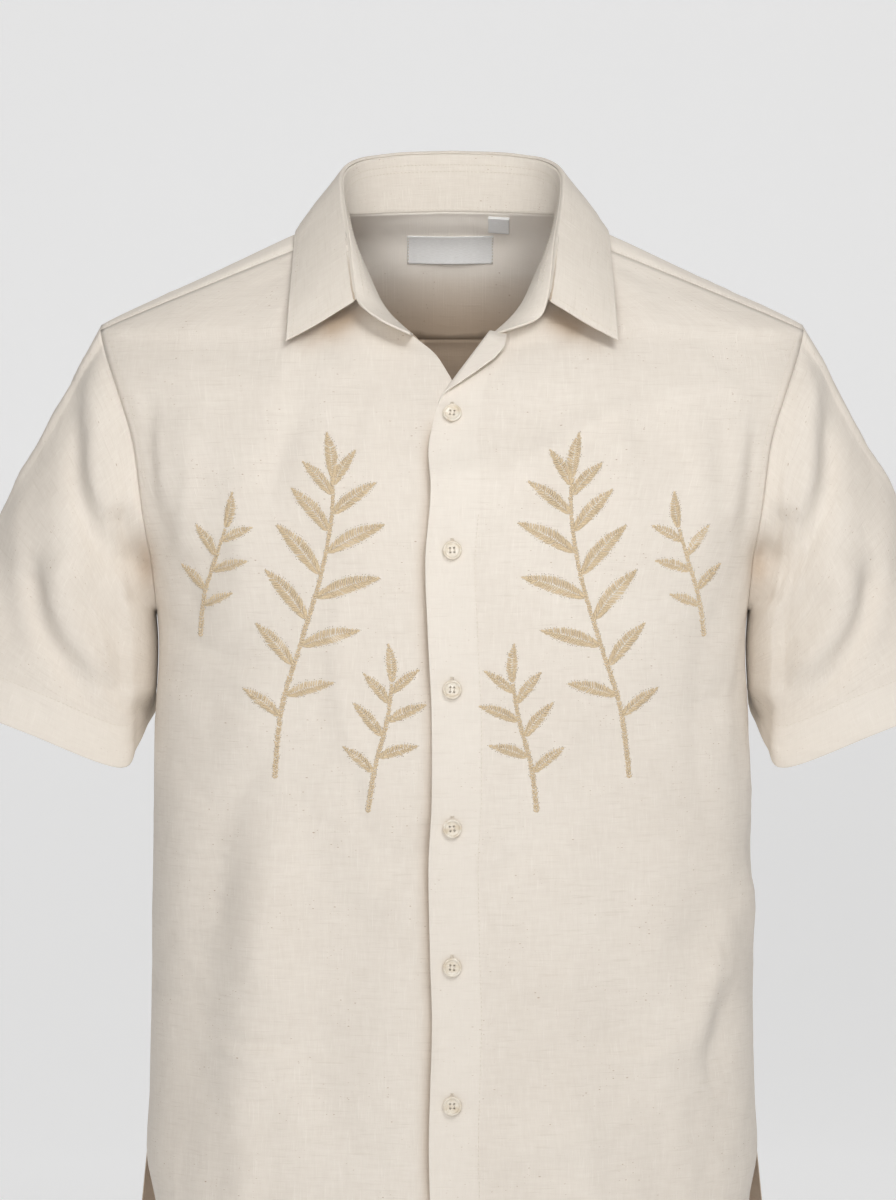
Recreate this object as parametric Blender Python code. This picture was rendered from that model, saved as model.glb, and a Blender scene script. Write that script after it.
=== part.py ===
# Short sleeved linen shirt, filled out as if worn and hollow inside.
# Frame: origin on the centre back neck seam, +X to the wearer's left, -Y to the front, +Z up.
# Every cloth piece is a grid of points on its middle surface, closed to a thin wall.
import math

import bpy
import numpy as np
from mathutils import Vector
from mathutils.bvhtree import BVHTree
from mathutils.geometry import delaunay_2d_cdt

# Cloth and seams, in metres
CLOTH = 0.0012
COLLAR_CLOTH = 0.0018
SEAM_GAP = 0.0003
SLEEVE_GAP = 0.00030
STAND_GAP = 0.00060
TRIM_GAP = 0.0011
SIDE_Y = -0.050
ROUNDNESS = 2.4
# Colours and roughness: linen, white trim, shell
LINEN = (0.78, 0.73, 0.67)
LINEN_ROUGHNESS = 0.9
TRIM = (0.80, 0.79, 0.77)
TRIM_ROUGHNESS = 0.8
SHELL = (0.80, 0.74, 0.62)
SHELL_ROUGHNESS = 0.35

# Levels down the body
HEM_Z = -0.745
VENT_Z = -0.658
ARMPIT_Z = -0.284
YOKE_SEAM_Z = -0.087
BODY_LEVELS = (HEM_Z, -0.702, VENT_Z, -0.600, -0.530, -0.450, -0.365, ARMPIT_Z)

# Front opening
LAP_EDGE_X = -0.0147
UNDER_EDGE_X = 0.018
LAP_LIFT = 0.0015
ROLL_RADIUS = 0.0022
ROLL_START = np.array([-0.0100, -0.1490])
ROLL_END = np.array([0.0266, -0.0980])
# Columns of the lap from its free edge inward, as shares of its width
LAP_SHARES = (1.0, 0.80, 0.58, 0.36, 0.18)
# The lap stands off up to this distance from the middle and sinks back over the next
LAP_HALF = 0.022
LAP_FADE = 0.030

# Side vents: how far the front edge draws in and the back edge swings out, and over which angle
VENT_FRONT = (0.0050, 0.0080)
VENT_BACK = (0.0075, 0.0020)
VENT_SPREAD = 0.30

# Centre back box pleat
PLEAT_HALF = 0.019
PLEAT_STEP = 0.0025
PLEAT_LIFT = 0.0024

# Buttons
BUTTON_RADIUS = 0.00635
BUTTON_THICK = 0.0026
BUTTON_PITCH = 0.0918
FIRST_BUTTON_Z = -0.1529
BUTTON_COUNT = 6
BUTTON_TURNS = 20
HOLE_TURNS = 6
HOLE_RADIUS = 0.00085
HOLE_PLACE = 0.0014
DISH_INSET = 0.0019
DISH_DEPTH = 0.0008
# Rim profile from the dish outward: inset from the radius, level below the face or above the back
BUTTON_RIM = ((0.0012, BUTTON_THICK), (0.0004, BUTTON_THICK), (0.0, BUTTON_THICK - 0.0007), (0.0006, 0.0))

# Label and size tab
LABEL_SIZE = (0.062, 0.019)
LABEL_TOP_Z = -0.0152
LABEL_MIDDLE_X = -0.0012
TAB_SIZE = (0.015, 0.0115)
TAB_CORNER = (0.0262, -0.0022)
TRIM_THICK = 0.0010

# Grid steps: neck stations behind and before the shoulder seam, shoulder, armhole parts, sleeve
YOKE_NECK = 7
FRONT_NECK = 6
SHOULDER = 7
ARM_FRONT = 9
ARM_YOKE = 5
ARM_BACK = 9
SLEEVE_ROWS = 12
STAND_ROWS = 3
LEAF_STATIONS = 11

# Cross sections of the filled out body: level, half width, front y, back y
SLICES = (
    (0.0100, 0.0340, -0.0440, -0.0180),
    (0.0000, 0.0550, -0.0520, 0.0000),
    (-0.0080, 0.0735, -0.0600, 0.0080),
    (-0.0219, 0.1090, -0.0700, 0.0210),
    (-0.0500, 0.1683, -0.0900, 0.0330),
    (-0.0863, 0.2452, -0.1130, 0.0470),
    (-0.1000, 0.2510, -0.1210, 0.0515),
    (-0.1350, 0.2526, -0.1440, 0.0620),
    (-0.2000, 0.2360, -0.1680, 0.0730),
    (-0.2840, 0.2058, -0.1800, 0.0760),
    (-0.3890, 0.2072, -0.1810, 0.0750),
    (-0.5994, 0.2104, -0.1770, 0.0720),
    (-0.6550, 0.2127, -0.1750, 0.0710),
    (-0.7450, 0.2140, -0.1720, 0.0700),
)

# Neck seam behind the shoulder seam: x, y.  Before it: x, z
NECK_BACK = (
    (0.0000, 0.0000), (0.0180, -0.0010), (0.0340, -0.0050), (0.0480, -0.0125),
    (0.0600, -0.0235), (0.0685, -0.0370), (0.0722, -0.0505), (0.0705, -0.0640),
)
NECK_FRONT = (
    (0.0650, -0.0365), (0.0572, -0.0545), (0.0500, -0.0710),
    (0.0437, -0.0810), (0.0364, -0.0890), (0.0266, -0.0980),
)

# Collar fold line, then the free leaf edge: x, y, z
FOLD = (
    (0.0000, 0.0060, 0.0425), (0.0190, 0.0055, 0.0420), (0.0360, 0.0030, 0.0410),
    (0.0510, -0.0030, 0.0385), (0.0635, -0.0130, 0.0350), (0.0720, -0.0280, 0.0290),
    (0.0760, -0.0450, 0.0210), (0.0765, -0.0620, 0.0100), (0.0740, -0.0830, -0.0100),
    (0.0705, -0.1000, -0.0310), (0.0680, -0.1140, -0.0535), (0.0650, -0.1240, -0.0735),
)
LEAF_EDGE = (
    (0.0000, 0.0290, -0.0020), (0.0260, 0.0275, -0.0025), (0.0500, 0.0225, -0.0045),
    (0.0710, 0.0125, -0.0075), (0.0880, -0.0020, -0.0110), (0.0995, -0.0200, -0.0160),
    (0.1065, -0.0410, -0.0200), (0.1090, -0.0620, -0.0240), (0.1098, -0.0830, -0.0400),
    (0.1105, -0.1010, -0.0600), (0.1115, -0.1160, -0.0820), (0.1125, -0.1280, -0.1022),
)

# Free end of the stand beyond the leaf: x, lift off the chest, z, for each side
TAB_LEFT = ((0.0590, 0.0150, -0.0865), (0.0405, 0.0135, -0.0938))
TAB_RIGHT = ((0.0500, 0.0210, -0.0875), (0.0285, 0.0180, -0.0980))

# Armhole from the underarm to the front shoulder seam, and on the back up to the yoke seam: x, z
ARMHOLE_FRONT = (
    (0.2058, -0.2840), (0.2046, -0.2790), (0.2060, -0.2580), (0.2124, -0.2078),
    (0.2151, -0.1860), (0.2190, -0.1650), (0.2289, -0.1354), (0.2400, -0.1050),
    (0.2435, -0.0905),
)
ARMHOLE_BACK = (
    (0.2058, -0.2840), (0.2046, -0.2780), (0.2090, -0.2500), (0.2160, -0.2150),
    (0.2225, -0.1800), (0.2300, -0.1500), (0.2370, -0.1230), (0.2425, -0.0930),
)
# Outer end of the yoke from the front shoulder seam to the yoke seam: x, y
YOKE_END = ((0.2435, -0.0668), (0.2452, -0.0500), (0.2448, -0.0350), (0.2425, -0.0198))

# Sleeve hem from the underarm round the front, the outside and the back: share, x, y, z
SLEEVE_HEM = (
    (0.00, 0.2130, -0.0500, -0.3640),
    (0.06, 0.2185, -0.0760, -0.3800),
    (0.12, 0.2300, -0.0940, -0.3925),
    (0.26, 0.2900, -0.1090, -0.3685),
    (0.40, 0.3500, -0.0920, -0.3455),
    (0.50, 0.3745, -0.0560, -0.3334),
    (0.60, 0.3480, -0.0180, -0.3370),
    (0.74, 0.2860, -0.0010, -0.3450),
    (0.88, 0.2200, -0.0080, -0.3500),
    (0.94, 0.2110, -0.0230, -0.3540),
    (1.00, 0.2130, -0.0500, -0.3640),
)

# Largest folds.  Body: x, z along the fold.  Sleeve: x away from the middle, z
BODY_FOLDS = (
    (-1, 0.024, 0.0050, ((-0.128, -0.300), (-0.140, -0.420), (-0.158, -0.520))),
    (-1, 0.030, -0.0050, ((-0.075, -0.420), (-0.085, -0.560), (-0.080, -0.700))),
    (-1, 0.022, 0.0040, ((0.180, -0.330), (0.188, -0.480), (0.170, -0.600))),
    (-1, 0.030, -0.0050, ((0.095, -0.360), (0.120, -0.500), (0.110, -0.690))),
    (-1, 0.020, 0.0040, ((-0.190, -0.310), (-0.180, -0.420), (-0.186, -0.560))),
    (1, 0.034, 0.0070, ((0.070, -0.300), (0.085, -0.480), (0.100, -0.745))),
    (1, 0.034, 0.0070, ((-0.066, -0.320), (-0.080, -0.500), (-0.104, -0.745))),
    (1, 0.030, -0.0055, ((0.150, -0.250), (0.155, -0.420), (0.150, -0.700))),
    (1, 0.030, -0.0055, ((-0.152, -0.240), (-0.150, -0.430), (-0.146, -0.700))),
)
SLEEVE_FOLDS = (
    (-1, 0.016, -0.0045, ((0.252, -0.150), (0.248, -0.200), (0.238, -0.236), (0.222, -0.268))),
    (-1, 0.018, 0.0040, ((0.272, -0.190), (0.266, -0.240), (0.248, -0.282))),
    (-1, 0.014, -0.0035, ((0.288, -0.240), (0.276, -0.290), (0.256, -0.322), (0.240, -0.345))),
    (1, 0.018, -0.0050, ((0.262, -0.160), (0.262, -0.220), (0.240, -0.270))),
    (1, 0.016, 0.0040, ((0.300, -0.200), (0.290, -0.270), (0.262, -0.315))),
)


def spline(rows, where):
    """Smooth values through the rows of a table at index positions."""
    table = np.asarray(rows, float)
    where = np.atleast_1d(np.asarray(where, float))
    first = np.clip(np.floor(where).astype(int), 0, len(table) - 2)
    f = (where - first)[:, None]
    p0 = table[np.maximum(first - 1, 0)]
    p1 = table[first]
    p2 = table[first + 1]
    p3 = table[np.minimum(first + 2, len(table) - 1)]
    return 0.5 * (
        2 * p1 + (p2 - p0) * f + (2 * p0 - 5 * p1 + 4 * p2 - p3) * f**2
        + (3 * p1 - p0 - 3 * p2 + p3) * f**3
    )


def resample(points, count):
    """Points at even steps of length along a polyline."""
    steps = np.linalg.norm(np.diff(points, axis=0), axis=1)
    run = np.concatenate(([0.0], np.cumsum(steps)))
    wanted = np.linspace(0.0, run[-1], count + 1)
    return np.stack([np.interp(wanted, run, points[:, k]) for k in range(points.shape[1])], 1)


def smooth_line(rows, count):
    """A table of points as a smooth line of even steps."""
    fine = spline(rows, np.linspace(0, len(rows) - 1, 12 * len(rows)))
    return resample(fine, count)


def ease(value):
    value = np.clip(value, 0.0, 1.0)
    return value * value * (3 - 2 * value)


DENSE = spline(SLICES, np.linspace(0, len(SLICES) - 1, 400))[::-1]


def section(z):
    """Half width, front depth and back depth of the body at a level."""
    width = np.interp(z, DENSE[:, 0], DENSE[:, 1])
    front = SIDE_Y - np.interp(z, DENSE[:, 0], DENSE[:, 2])
    back = np.interp(z, DENSE[:, 0], DENSE[:, 3]) - SIDE_Y
    return width, front, back


def surface_y(x, z, facing):
    """Depth of the body surface: facing -1 is the front, 1 the back."""
    width, front, back = section(z)
    share = np.clip(np.abs(x) / width, 0.0, 1.0)
    reach = (1 - share**ROUNDNESS) ** (1 / ROUNDNESS)
    depth = np.where(np.asarray(facing) < 0, front, back)
    return SIDE_Y + facing * depth * reach


def angle_of(x, z):
    width = section(z)[0]
    share = np.clip(x / width, -1.0, 1.0)
    return np.arccos(np.sign(share) * np.abs(share) ** (ROUNDNESS / 2))


def around(angle, z, facing):
    """A point by its angle from the side, a quarter turn being the centre line."""
    width = section(z)[0]
    turn = np.cos(angle)
    x = width * np.sign(turn) * np.abs(turn) ** (2 / ROUNDNESS)
    return x, surface_y(x, z, facing)


def height(x, y):
    """Level of the shoulder surface over a point of the plan."""
    low = np.full(np.shape(x), -0.130)
    high = np.full(np.shape(x), 0.0099)
    facing = np.where(np.asarray(y) < SIDE_Y, -1.0, 1.0)
    for _ in range(40):
        middle = (low + high) / 2
        width, front, back = section(middle)
        depth = np.where(facing < 0, front, back)
        value = (np.abs(x) / width) ** ROUNDNESS + (np.abs(y - SIDE_Y) / depth) ** ROUNDNESS
        inside = value < 1
        low = np.where(inside, middle, low)
        high = np.where(inside, high, middle)
    return (low + high) / 2


def fold_lift(folds, x, z, facing):
    """Sum of the soft folds at points of one face."""
    lift = np.zeros(np.shape(x))
    for face, width, rise, line in folds:
        if face != facing:
            continue
        way = smooth_line(line, 24)
        gap = np.hypot(x[..., None] - way[:, 0], z[..., None] - way[:, 1])
        near = gap.argmin(-1)
        along = near / 24
        fade = ease(np.minimum(along, 1 - along) * 3 + 0.15)
        lift += rise * fade * np.exp(-((gap.min(-1) / width) ** 2))
    return lift


def neck_curve(side):
    """Neck seam from the centre back to the front end, one row per station."""
    back = np.array(NECK_BACK)
    behind = np.column_stack([back, height(back[:, 0], back[:, 1])])
    front = np.array(NECK_FRONT)
    before = np.column_stack([front[:, 0], surface_y(front[:, 0], front[:, 1], -1), front[:, 1]])
    curve = np.vstack([behind, before])
    curve[:, 0] *= side
    return curve


def fold_curve(side):
    curve = np.array(FOLD)
    rows = TAB_LEFT if side > 0 else TAB_RIGHT
    ends = [(x, surface_y(x, z, -1) - lift, z) for x, lift, z in rows]
    curve = np.vstack([curve, ends])
    curve[:, 0] *= side
    return curve


def armhole_front(side):
    line = smooth_line(ARMHOLE_FRONT, 200)
    points = np.column_stack([line[:, 0], surface_y(line[:, 0], line[:, 1], -1), line[:, 1]])
    points[0, 1] = SIDE_Y
    points = resample(points, ARM_FRONT)
    points[:, 0] *= side
    return points


def armhole_back(side):
    line = smooth_line(ARMHOLE_BACK, 200)
    points = np.column_stack([line[:, 0], surface_y(line[:, 0], line[:, 1], 1), line[:, 1]])
    points[0, 1] = SIDE_Y
    points = resample(points, ARM_BACK)
    points[:, 0] *= side
    return points


def yoke_end(side):
    """Yoke end from the front shoulder seam over the shoulder to the yoke seam."""
    plan = smooth_line(YOKE_END, ARM_YOKE)
    points = np.column_stack([plan, height(plan[:, 0], plan[:, 1])])
    points[0] = armhole_front(1)[-1]
    points[-1] = armhole_back(1)[-1]
    points[:, 0] *= side
    return points


def shoulder_seam(side):
    """Front shoulder seam from the neck to the armhole, straight as seen from the front."""
    inner = neck_curve(1)[YOKE_NECK]
    outer = armhole_front(1)[-1]
    share = np.linspace(0, 1, SHOULDER + 1)[:, None]
    flat = inner[[0, 2]] * (1 - share) + outer[[0, 2]] * share
    points = np.column_stack([flat[:, 0], surface_y(flat[:, 0], flat[:, 1], -1), flat[:, 1]])
    points[0] = inner
    points[-1] = outer
    points[:, 0] *= side
    return points


def coons(bottom, top, left, right):
    """Patch between four lines: rows run from bottom to top, columns from left to right."""
    v = np.linspace(0, 1, len(left))[:, None, None]
    u = np.linspace(0, 1, len(bottom))[None, :, None]
    ruled = (1 - v) * bottom[None] + v * top[None]
    spread = (1 - u) * left[:, None] + u * right[:, None]
    corner = (1 - v) * ((1 - u) * bottom[0] + u * bottom[-1])
    corner = corner + v * ((1 - u) * top[0] + u * top[-1])
    return ruled + spread - corner


def open_vent(points, side, facing, angle):
    """Side vent: the front edge draws in, the back edge swings out."""
    fall = np.clip((VENT_Z - points[..., 2]) / (VENT_Z - HEM_Z), 0, 1)
    near = np.exp(-((angle / VENT_SPREAD) ** 2)) * fall
    if facing < 0:
        points[..., 0] -= side * VENT_FRONT[0] * near
        points[..., 1] -= VENT_FRONT[1] * near
    else:
        points[..., 0] += side * VENT_BACK[0] * near
        points[..., 1] += VENT_BACK[1] * near
    return points


def body_grid(inner_x, shares, side, facing):
    """Rows of a body panel from hem to armpit, columns from the inner edge to the side."""
    z = np.array(BODY_LEVELS)[:, None] * np.ones((1, len(shares)))
    start = angle_of(np.full(z.shape, inner_x), z)
    angle = start * (1 - shares[None])
    x, y = around(angle, z, facing)
    points = np.stack([side * x, y, z], -1)
    return open_vent(points, side, facing, angle)


def displaced(points, facing, keep):
    """Body folds, pushed out from the middle of the body."""
    lift = fold_lift(BODY_FOLDS, points[..., 0], points[..., 2], facing) * keep
    away = points[..., :2] - np.array([0.0, SIDE_Y])
    away /= np.maximum(np.linalg.norm(away, axis=-1, keepdims=True), 1e-6)
    points = points.copy()
    points[..., :2] += away * lift[..., None]
    return points


def front_main(side, edge):
    """Front panel from a line near the centre out to the side seam and the armhole."""
    share = np.concatenate([
        np.linspace(0, 0.30, FRONT_NECK + 1)[:-1],
        np.linspace(0.30, 1, SHOULDER + 1),
    ])
    lower = body_grid(edge[0, 0], share, side, -1)
    bottom = lower[-1][:, [0, 2]] * np.array([side, 1])
    neck = neck_curve(1)[YOKE_NECK:][::-1]
    top = np.vstack([neck, shoulder_seam(1)[1:]])[:, [0, 2]]
    arm = armhole_front(1)
    upper = coons(bottom, top, resample(edge, ARM_FRONT), arm[:, [0, 2]])
    width = section(upper[..., 1])[0]
    upper[..., 0] = np.minimum(upper[..., 0], width * 0.9999)
    y = surface_y(upper[..., 0], upper[..., 1], -1)
    y[:, -1] = arm[:, 1]
    y[-1, :FRONT_NECK + 1] = neck[:, 1]
    points = np.stack([side * upper[..., 0], y, upper[..., 1]], -1)
    return np.vstack([lower, points[1:]])


def edge_fade(points):
    """Fold strength over a panel grid: none on the side and armhole, full inside."""
    columns = np.linspace(0, 1, points.shape[1])[None]
    rows = np.ones((points.shape[0], 1))
    high = ease((ARMPIT_Z + 0.14 - points[..., 2]) / 0.16)
    return rows * ease((1 - columns) * 8) * high


def lapped(points, strength):
    """The lap at the centre stands off the layer under it."""
    near = 1 - ease((np.abs(points[..., 0]) - LAP_HALF) / LAP_FADE)
    points = points.copy()
    points[..., 1] -= strength * near
    return points


def front_right():
    """Wearer's right front: its free edge runs under the left and opens at the neck."""
    edge = np.array([
        (-UNDER_EDGE_X, ARMPIT_Z), (-UNDER_EDGE_X, -0.230), (-UNDER_EDGE_X, -0.180),
        (-0.0150, -0.1550), (-0.0040, -0.1370), (0.0045, -0.1220), (0.0130, -0.1098),
        (0.0266, -0.0980),
    ])
    points = front_main(-1, smooth_line(edge, 80))
    return displaced(points, -1, edge_fade(points))


# Free edge of the lapel before it is turned: level of the roll, edge x, rise of the edge
LAPEL_LEVELS = (-0.172, -0.158, -0.149, -0.139, -0.128, -0.108, -0.0995, -0.098)
LAPEL_EDGE = (LAP_EDGE_X, -0.0130, -0.0104, -0.0066, -0.0030, 0.0047, 0.0112, 0.0178)
LAPEL_RISE = (0.0, 0.0, 0.0, 0.0030, 0.0059, 0.0106, 0.0125, 0.0143)


def rolled(points):
    """Turns cloth beyond the roll line outward over the panel."""
    way = (ROLL_END - ROLL_START) / np.linalg.norm(ROLL_END - ROLL_START)
    across = np.array([way[1], -way[0]])
    flat = points[..., [0, 2]]
    beyond = -((flat - ROLL_START) @ across)
    past = np.clip(beyond, 0, None)
    turn = np.minimum(past / ROLL_RADIUS, math.pi)
    rest = np.clip(past - math.pi * ROLL_RADIUS, 0, None)
    shift = past - ROLL_RADIUS * np.sin(turn) + rest
    lift = ROLL_RADIUS * (1 - np.cos(turn)) + 0.18 * rest
    moved = flat + across * shift[..., None]
    out = points.copy()
    out[..., 0] = moved[..., 0]
    out[..., 2] = moved[..., 1]
    base = surface_y(flat[..., 0], flat[..., 1], -1)
    out[..., 1] += surface_y(moved[..., 0], moved[..., 1], -1) - base - lift
    return out


def front_left():
    """Wearer's left front with its lap and the small turned out lapel."""
    line = np.array([
        (0.0030, ARMPIT_Z), (0.0030, -0.2300), (0.0020, -0.1850), (-0.0010, -0.1560),
        (0.0019, -0.1330), (0.0113, -0.1195), (0.0190, -0.1086), (0.0266, -0.0980),
    ])
    edge = smooth_line(line, 80)
    main = front_main(1, edge)
    seam = np.vstack([
        np.column_stack([np.full(len(BODY_LEVELS) - 1, line[0, 0]), BODY_LEVELS[:-1]]),
        resample(edge, ARM_FRONT),
    ])
    level = seam[:, 1]
    free = np.interp(level, LAPEL_LEVELS, LAPEL_EDGE)
    top = np.interp(level, LAPEL_LEVELS, LAPEL_RISE)
    outer = np.column_stack([free, level + top])
    strip = []
    for share in LAP_SHARES:
        flat = seam * (1 - share) + outer * share
        depth = surface_y(flat[:, 0], flat[:, 1], -1)
        strip.append(np.column_stack([flat[:, 0], depth, flat[:, 1]]))
    points = np.concatenate([np.stack(strip, 1), main], 1)
    points = displaced(points, -1, edge_fade(points))
    points = lapped(points, LAP_LIFT)
    lap = len(LAP_SHARES)
    points[-1, lap:] = main[-1]
    points[:, :lap] = rolled(points[:, :lap])
    return points


def back_columns():
    """Places of the back columns on the yoke seam, from the centre out."""
    inner = (0.0, PLEAT_HALF, PLEAT_HALF + PLEAT_STEP, 0.042, 0.062, 0.080, 0.097, 0.113)
    outer = np.linspace(inner[-1], armhole_back(1)[-1, 0], SHOULDER + 1)[1:]
    return np.concatenate([inner, outer])


def yoke_seam():
    """Yoke seam at the back, centre to armhole, dropping a little to the armhole."""
    x = back_columns()
    end = armhole_back(1)[-1]
    z = YOKE_SEAM_Z + (end[2] - YOKE_SEAM_Z) * (x / end[0]) ** 2
    points = np.column_stack([x, surface_y(x, z, 1), z])
    points[-1] = end
    return points


def yoke_half():
    """Yoke from the back seam over the shoulder: rows back to front, columns centre out."""
    back = yoke_seam()
    neck = neck_curve(1)[:YOKE_NECK + 1]
    front = np.vstack([neck, shoulder_seam(1)[1:]])
    ends = yoke_end(1)[::-1]
    centre = np.column_stack([
        np.zeros(ARM_YOKE + 1),
        np.linspace(back[0, 1], neck[0, 1], ARM_YOKE + 1),
    ])
    plan = coons(back[:, :2], front[:, :2], centre, ends[:, :2])
    z = height(plan[..., 0], plan[..., 1])
    points = np.concatenate([plan, z[..., None]], -1)
    points[0] = back
    points[-1] = front
    points[:, -1] = ends
    return points


def mirrored(half):
    """A whole grid from the half on the wearer's left, centre column shared."""
    other = half[:, :0:-1].copy()
    other[..., 0] *= -1
    return np.concatenate([other, half], 1)


def back_half():
    """Back panel half: rows hem to yoke seam, columns centre out."""
    seam = yoke_seam()
    steps = np.arange(len(seam)) / (len(seam) - 1)
    place = seam[:, 0] / seam[-1, 0]
    lower_share = 0.35 * place + 0.65 * (0.55 * place + 0.45 * steps)
    z = np.array(BODY_LEVELS)[:, None] * np.ones((1, len(seam)))
    angle = (math.pi / 2) * (1 - lower_share[None]) * np.ones(z.shape)
    x, y = around(angle, z, 1)
    inner = np.array([0.0, PLEAT_HALF, PLEAT_HALF + PLEAT_STEP])
    x[:, :3] = inner
    y[:, :3] = surface_y(x[:, :3], z[:, :3], 1)
    lower = open_vent(np.stack([x, y, z], -1), 1, 1, angle)
    arm = armhole_back(1)
    levels = np.linspace(ARMPIT_Z, seam[0, 2], ARM_BACK + 1)
    centre = np.column_stack([np.zeros(ARM_BACK + 1), levels])
    upper = coons(lower[-1][:, [0, 2]], seam[:, [0, 2]], centre, arm[:, [0, 2]])
    width = section(upper[..., 1])[0]
    upper[..., 0] = np.minimum(upper[..., 0], width * 0.9999)
    y = surface_y(upper[..., 0], upper[..., 1], 1)
    y[:, -1] = arm[:, 1]
    points = np.stack([upper[..., 0], y, upper[..., 1]], -1)
    points[-1] = seam
    return np.vstack([lower, points[1:]])


def back_grid():
    points = mirrored(back_half())
    columns = np.abs(np.linspace(-1, 1, points.shape[1]))[None]
    high = ease((YOKE_SEAM_Z - 0.03 - points[..., 2]) / 0.12)
    points = displaced(points, 1, ease((1 - columns) * 8) * high)
    level = points[..., 2]
    fade = ease((level + 0.50) / 0.30)
    box = np.abs(points[..., 0]) < PLEAT_HALF + 0.001
    lift = PLEAT_LIFT * fade * box
    lift[-1] = 0
    points[..., 1] += lift
    return points


def sleeve_grid(side):
    """Sleeve: rows from the armhole to the hem, columns round the arm from the underarm."""
    front = armhole_front(1)
    over = yoke_end(1)
    back = armhole_back(1)[::-1]
    loop = np.vstack([front, over[1:], back[1:-1]])
    closed = np.vstack([loop, loop[:1]])
    run = np.concatenate([[0.0], np.cumsum(np.linalg.norm(np.diff(closed, axis=0), axis=1))])
    crown = len(front) + 1
    share = np.where(
        run < run[crown], 0.5 * run / run[crown],
        0.5 + 0.5 * (run - run[crown]) / (run[-1] - run[crown]),
    )[:-1]
    ring = np.array(SLEEVE_HEM)
    steps = np.linspace(0, len(ring) - 1, 201)
    dense = spline(np.vstack([ring[-2], ring, ring[1]]), 1 + steps)
    dense[:, 0] = np.interp(steps, np.arange(len(ring)), ring[:, 0])
    hem = np.stack([np.interp(share, dense[:, 0], dense[:, k]) for k in (1, 2, 3)], 1)
    lean = np.sin(2 * math.pi * share)
    over_arm = 0.5 - 0.5 * np.cos(2 * math.pi * share)
    start = np.stack([0.92 - 0.44 * over_arm, -0.16 * lean, -0.50 - 0.36 * over_arm], 1)
    finish = np.stack([0.10 + 0.36 * over_arm, np.zeros(len(share)), np.full(len(share), -0.9)], 1)
    start /= np.linalg.norm(start, axis=1, keepdims=True)
    finish /= np.linalg.norm(finish, axis=1, keepdims=True)
    length = np.linalg.norm(hem - loop, axis=1)[:, None]
    v = np.linspace(0, 1, SLEEVE_ROWS + 1)[:, None, None]
    p1 = loop + start * length * 0.33
    p2 = hem - finish * length * 0.33
    points = (1 - v) ** 3 * loop + 3 * v * (1 - v) ** 2 * p1
    points = points + 3 * v**2 * (1 - v) * p2 + v**3 * hem
    middle = points.mean(1, keepdims=True)
    away = points - middle
    away /= np.maximum(np.linalg.norm(away, axis=-1, keepdims=True), 1e-6)
    front_lift = fold_lift(SLEEVE_FOLDS, points[..., 0], points[..., 2], -1)
    back_lift = fold_lift(SLEEVE_FOLDS, points[..., 0], points[..., 2], 1)
    blend = ease((points[..., 1] - middle[..., 1] + 0.03) / 0.06)
    lift = (front_lift * (1 - blend) + back_lift * blend) * ease(v[..., 0] * 5)
    points = points + away * lift[..., None]
    points[..., 0] *= side
    return points


def stand_half(side):
    neck = neck_curve(side)
    fold = fold_curve(side)
    rise = fold - neck
    reach = np.linalg.norm(rise, axis=1, keepdims=True)
    out = np.column_stack([neck[:, 0] * 0, np.full(len(neck), -1.0), np.zeros(len(neck))])
    out = out * ease((-neck[:, 2:] - 0.015) / 0.030)
    bend = neck + rise * 0.30 + out * reach * 0.28
    v = np.linspace(0, 1, STAND_ROWS + 1)[:, None, None]
    return neck * (1 - v) ** 2 + 2 * bend * v * (1 - v) + fold * v**2


def stand_grid():
    """Collar stand from the neck seam to the fold, wearer's right end to left end."""
    right = stand_half(-1)[:, ::-1]
    left = stand_half(1)
    points = np.concatenate([right, left[:, 1:]], 1)
    below = points[-1] + (points[-2] - points[-1]) * 0.08
    points[-1] = below
    return points


def leaf_half(side):
    """Leaf of the collar: rolls over the fold and falls to its free edge."""
    fold = np.array(FOLD)
    edge = np.array(LEAF_EDGE)
    front = edge[:, 1] < -0.070
    edge[front, 1] = surface_y(edge[front, 0], edge[front, 2], -1) - 0.0035
    over = ~front & (np.arange(len(edge)) > 3)
    edge[over, 2] = height(edge[over, 0], edge[over, 1]) + 0.0040
    neck = neck_curve(1)[:LEAF_STATIONS + 1]
    up = fold - neck
    up /= np.linalg.norm(up, axis=1, keepdims=True)
    fall = edge - fold
    away = fall - up * (fall * up).sum(1, keepdims=True)
    away /= np.linalg.norm(away, axis=1, keepdims=True)
    start = fold + away * 0.0003
    first = fold + up * 0.0016 + away * 0.0012
    second = fold + up * 0.0006 + away * 0.0030
    turn = second + (edge - second) * 0.22 + away * 0.0010
    rows = [start, first, second, turn]
    for share in (0.48, 0.76, 1.0):
        bow = 0.0022 * math.sin(math.pi * share)
        rows.append(second + (edge - second) * share + away * bow)
    points = np.stack(rows)
    points[..., 0] *= side
    return points


def leaf_grid():
    return np.concatenate([leaf_half(-1)[:, ::-1], leaf_half(1)[:, 1:]], 1)


def form_normals(points):
    """Unit normals of a grid from the faces round each point."""
    faces = np.cross(points[1:, 1:] - points[:-1, :-1], points[1:, :-1] - points[:-1, 1:])
    normal = np.zeros(points.shape)
    normal[:-1, :-1] += faces
    normal[1:, :-1] += faces
    normal[:-1, 1:] += faces
    normal[1:, 1:] += faces
    return normal / np.maximum(np.linalg.norm(normal, axis=-1, keepdims=True), 1e-15)


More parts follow.
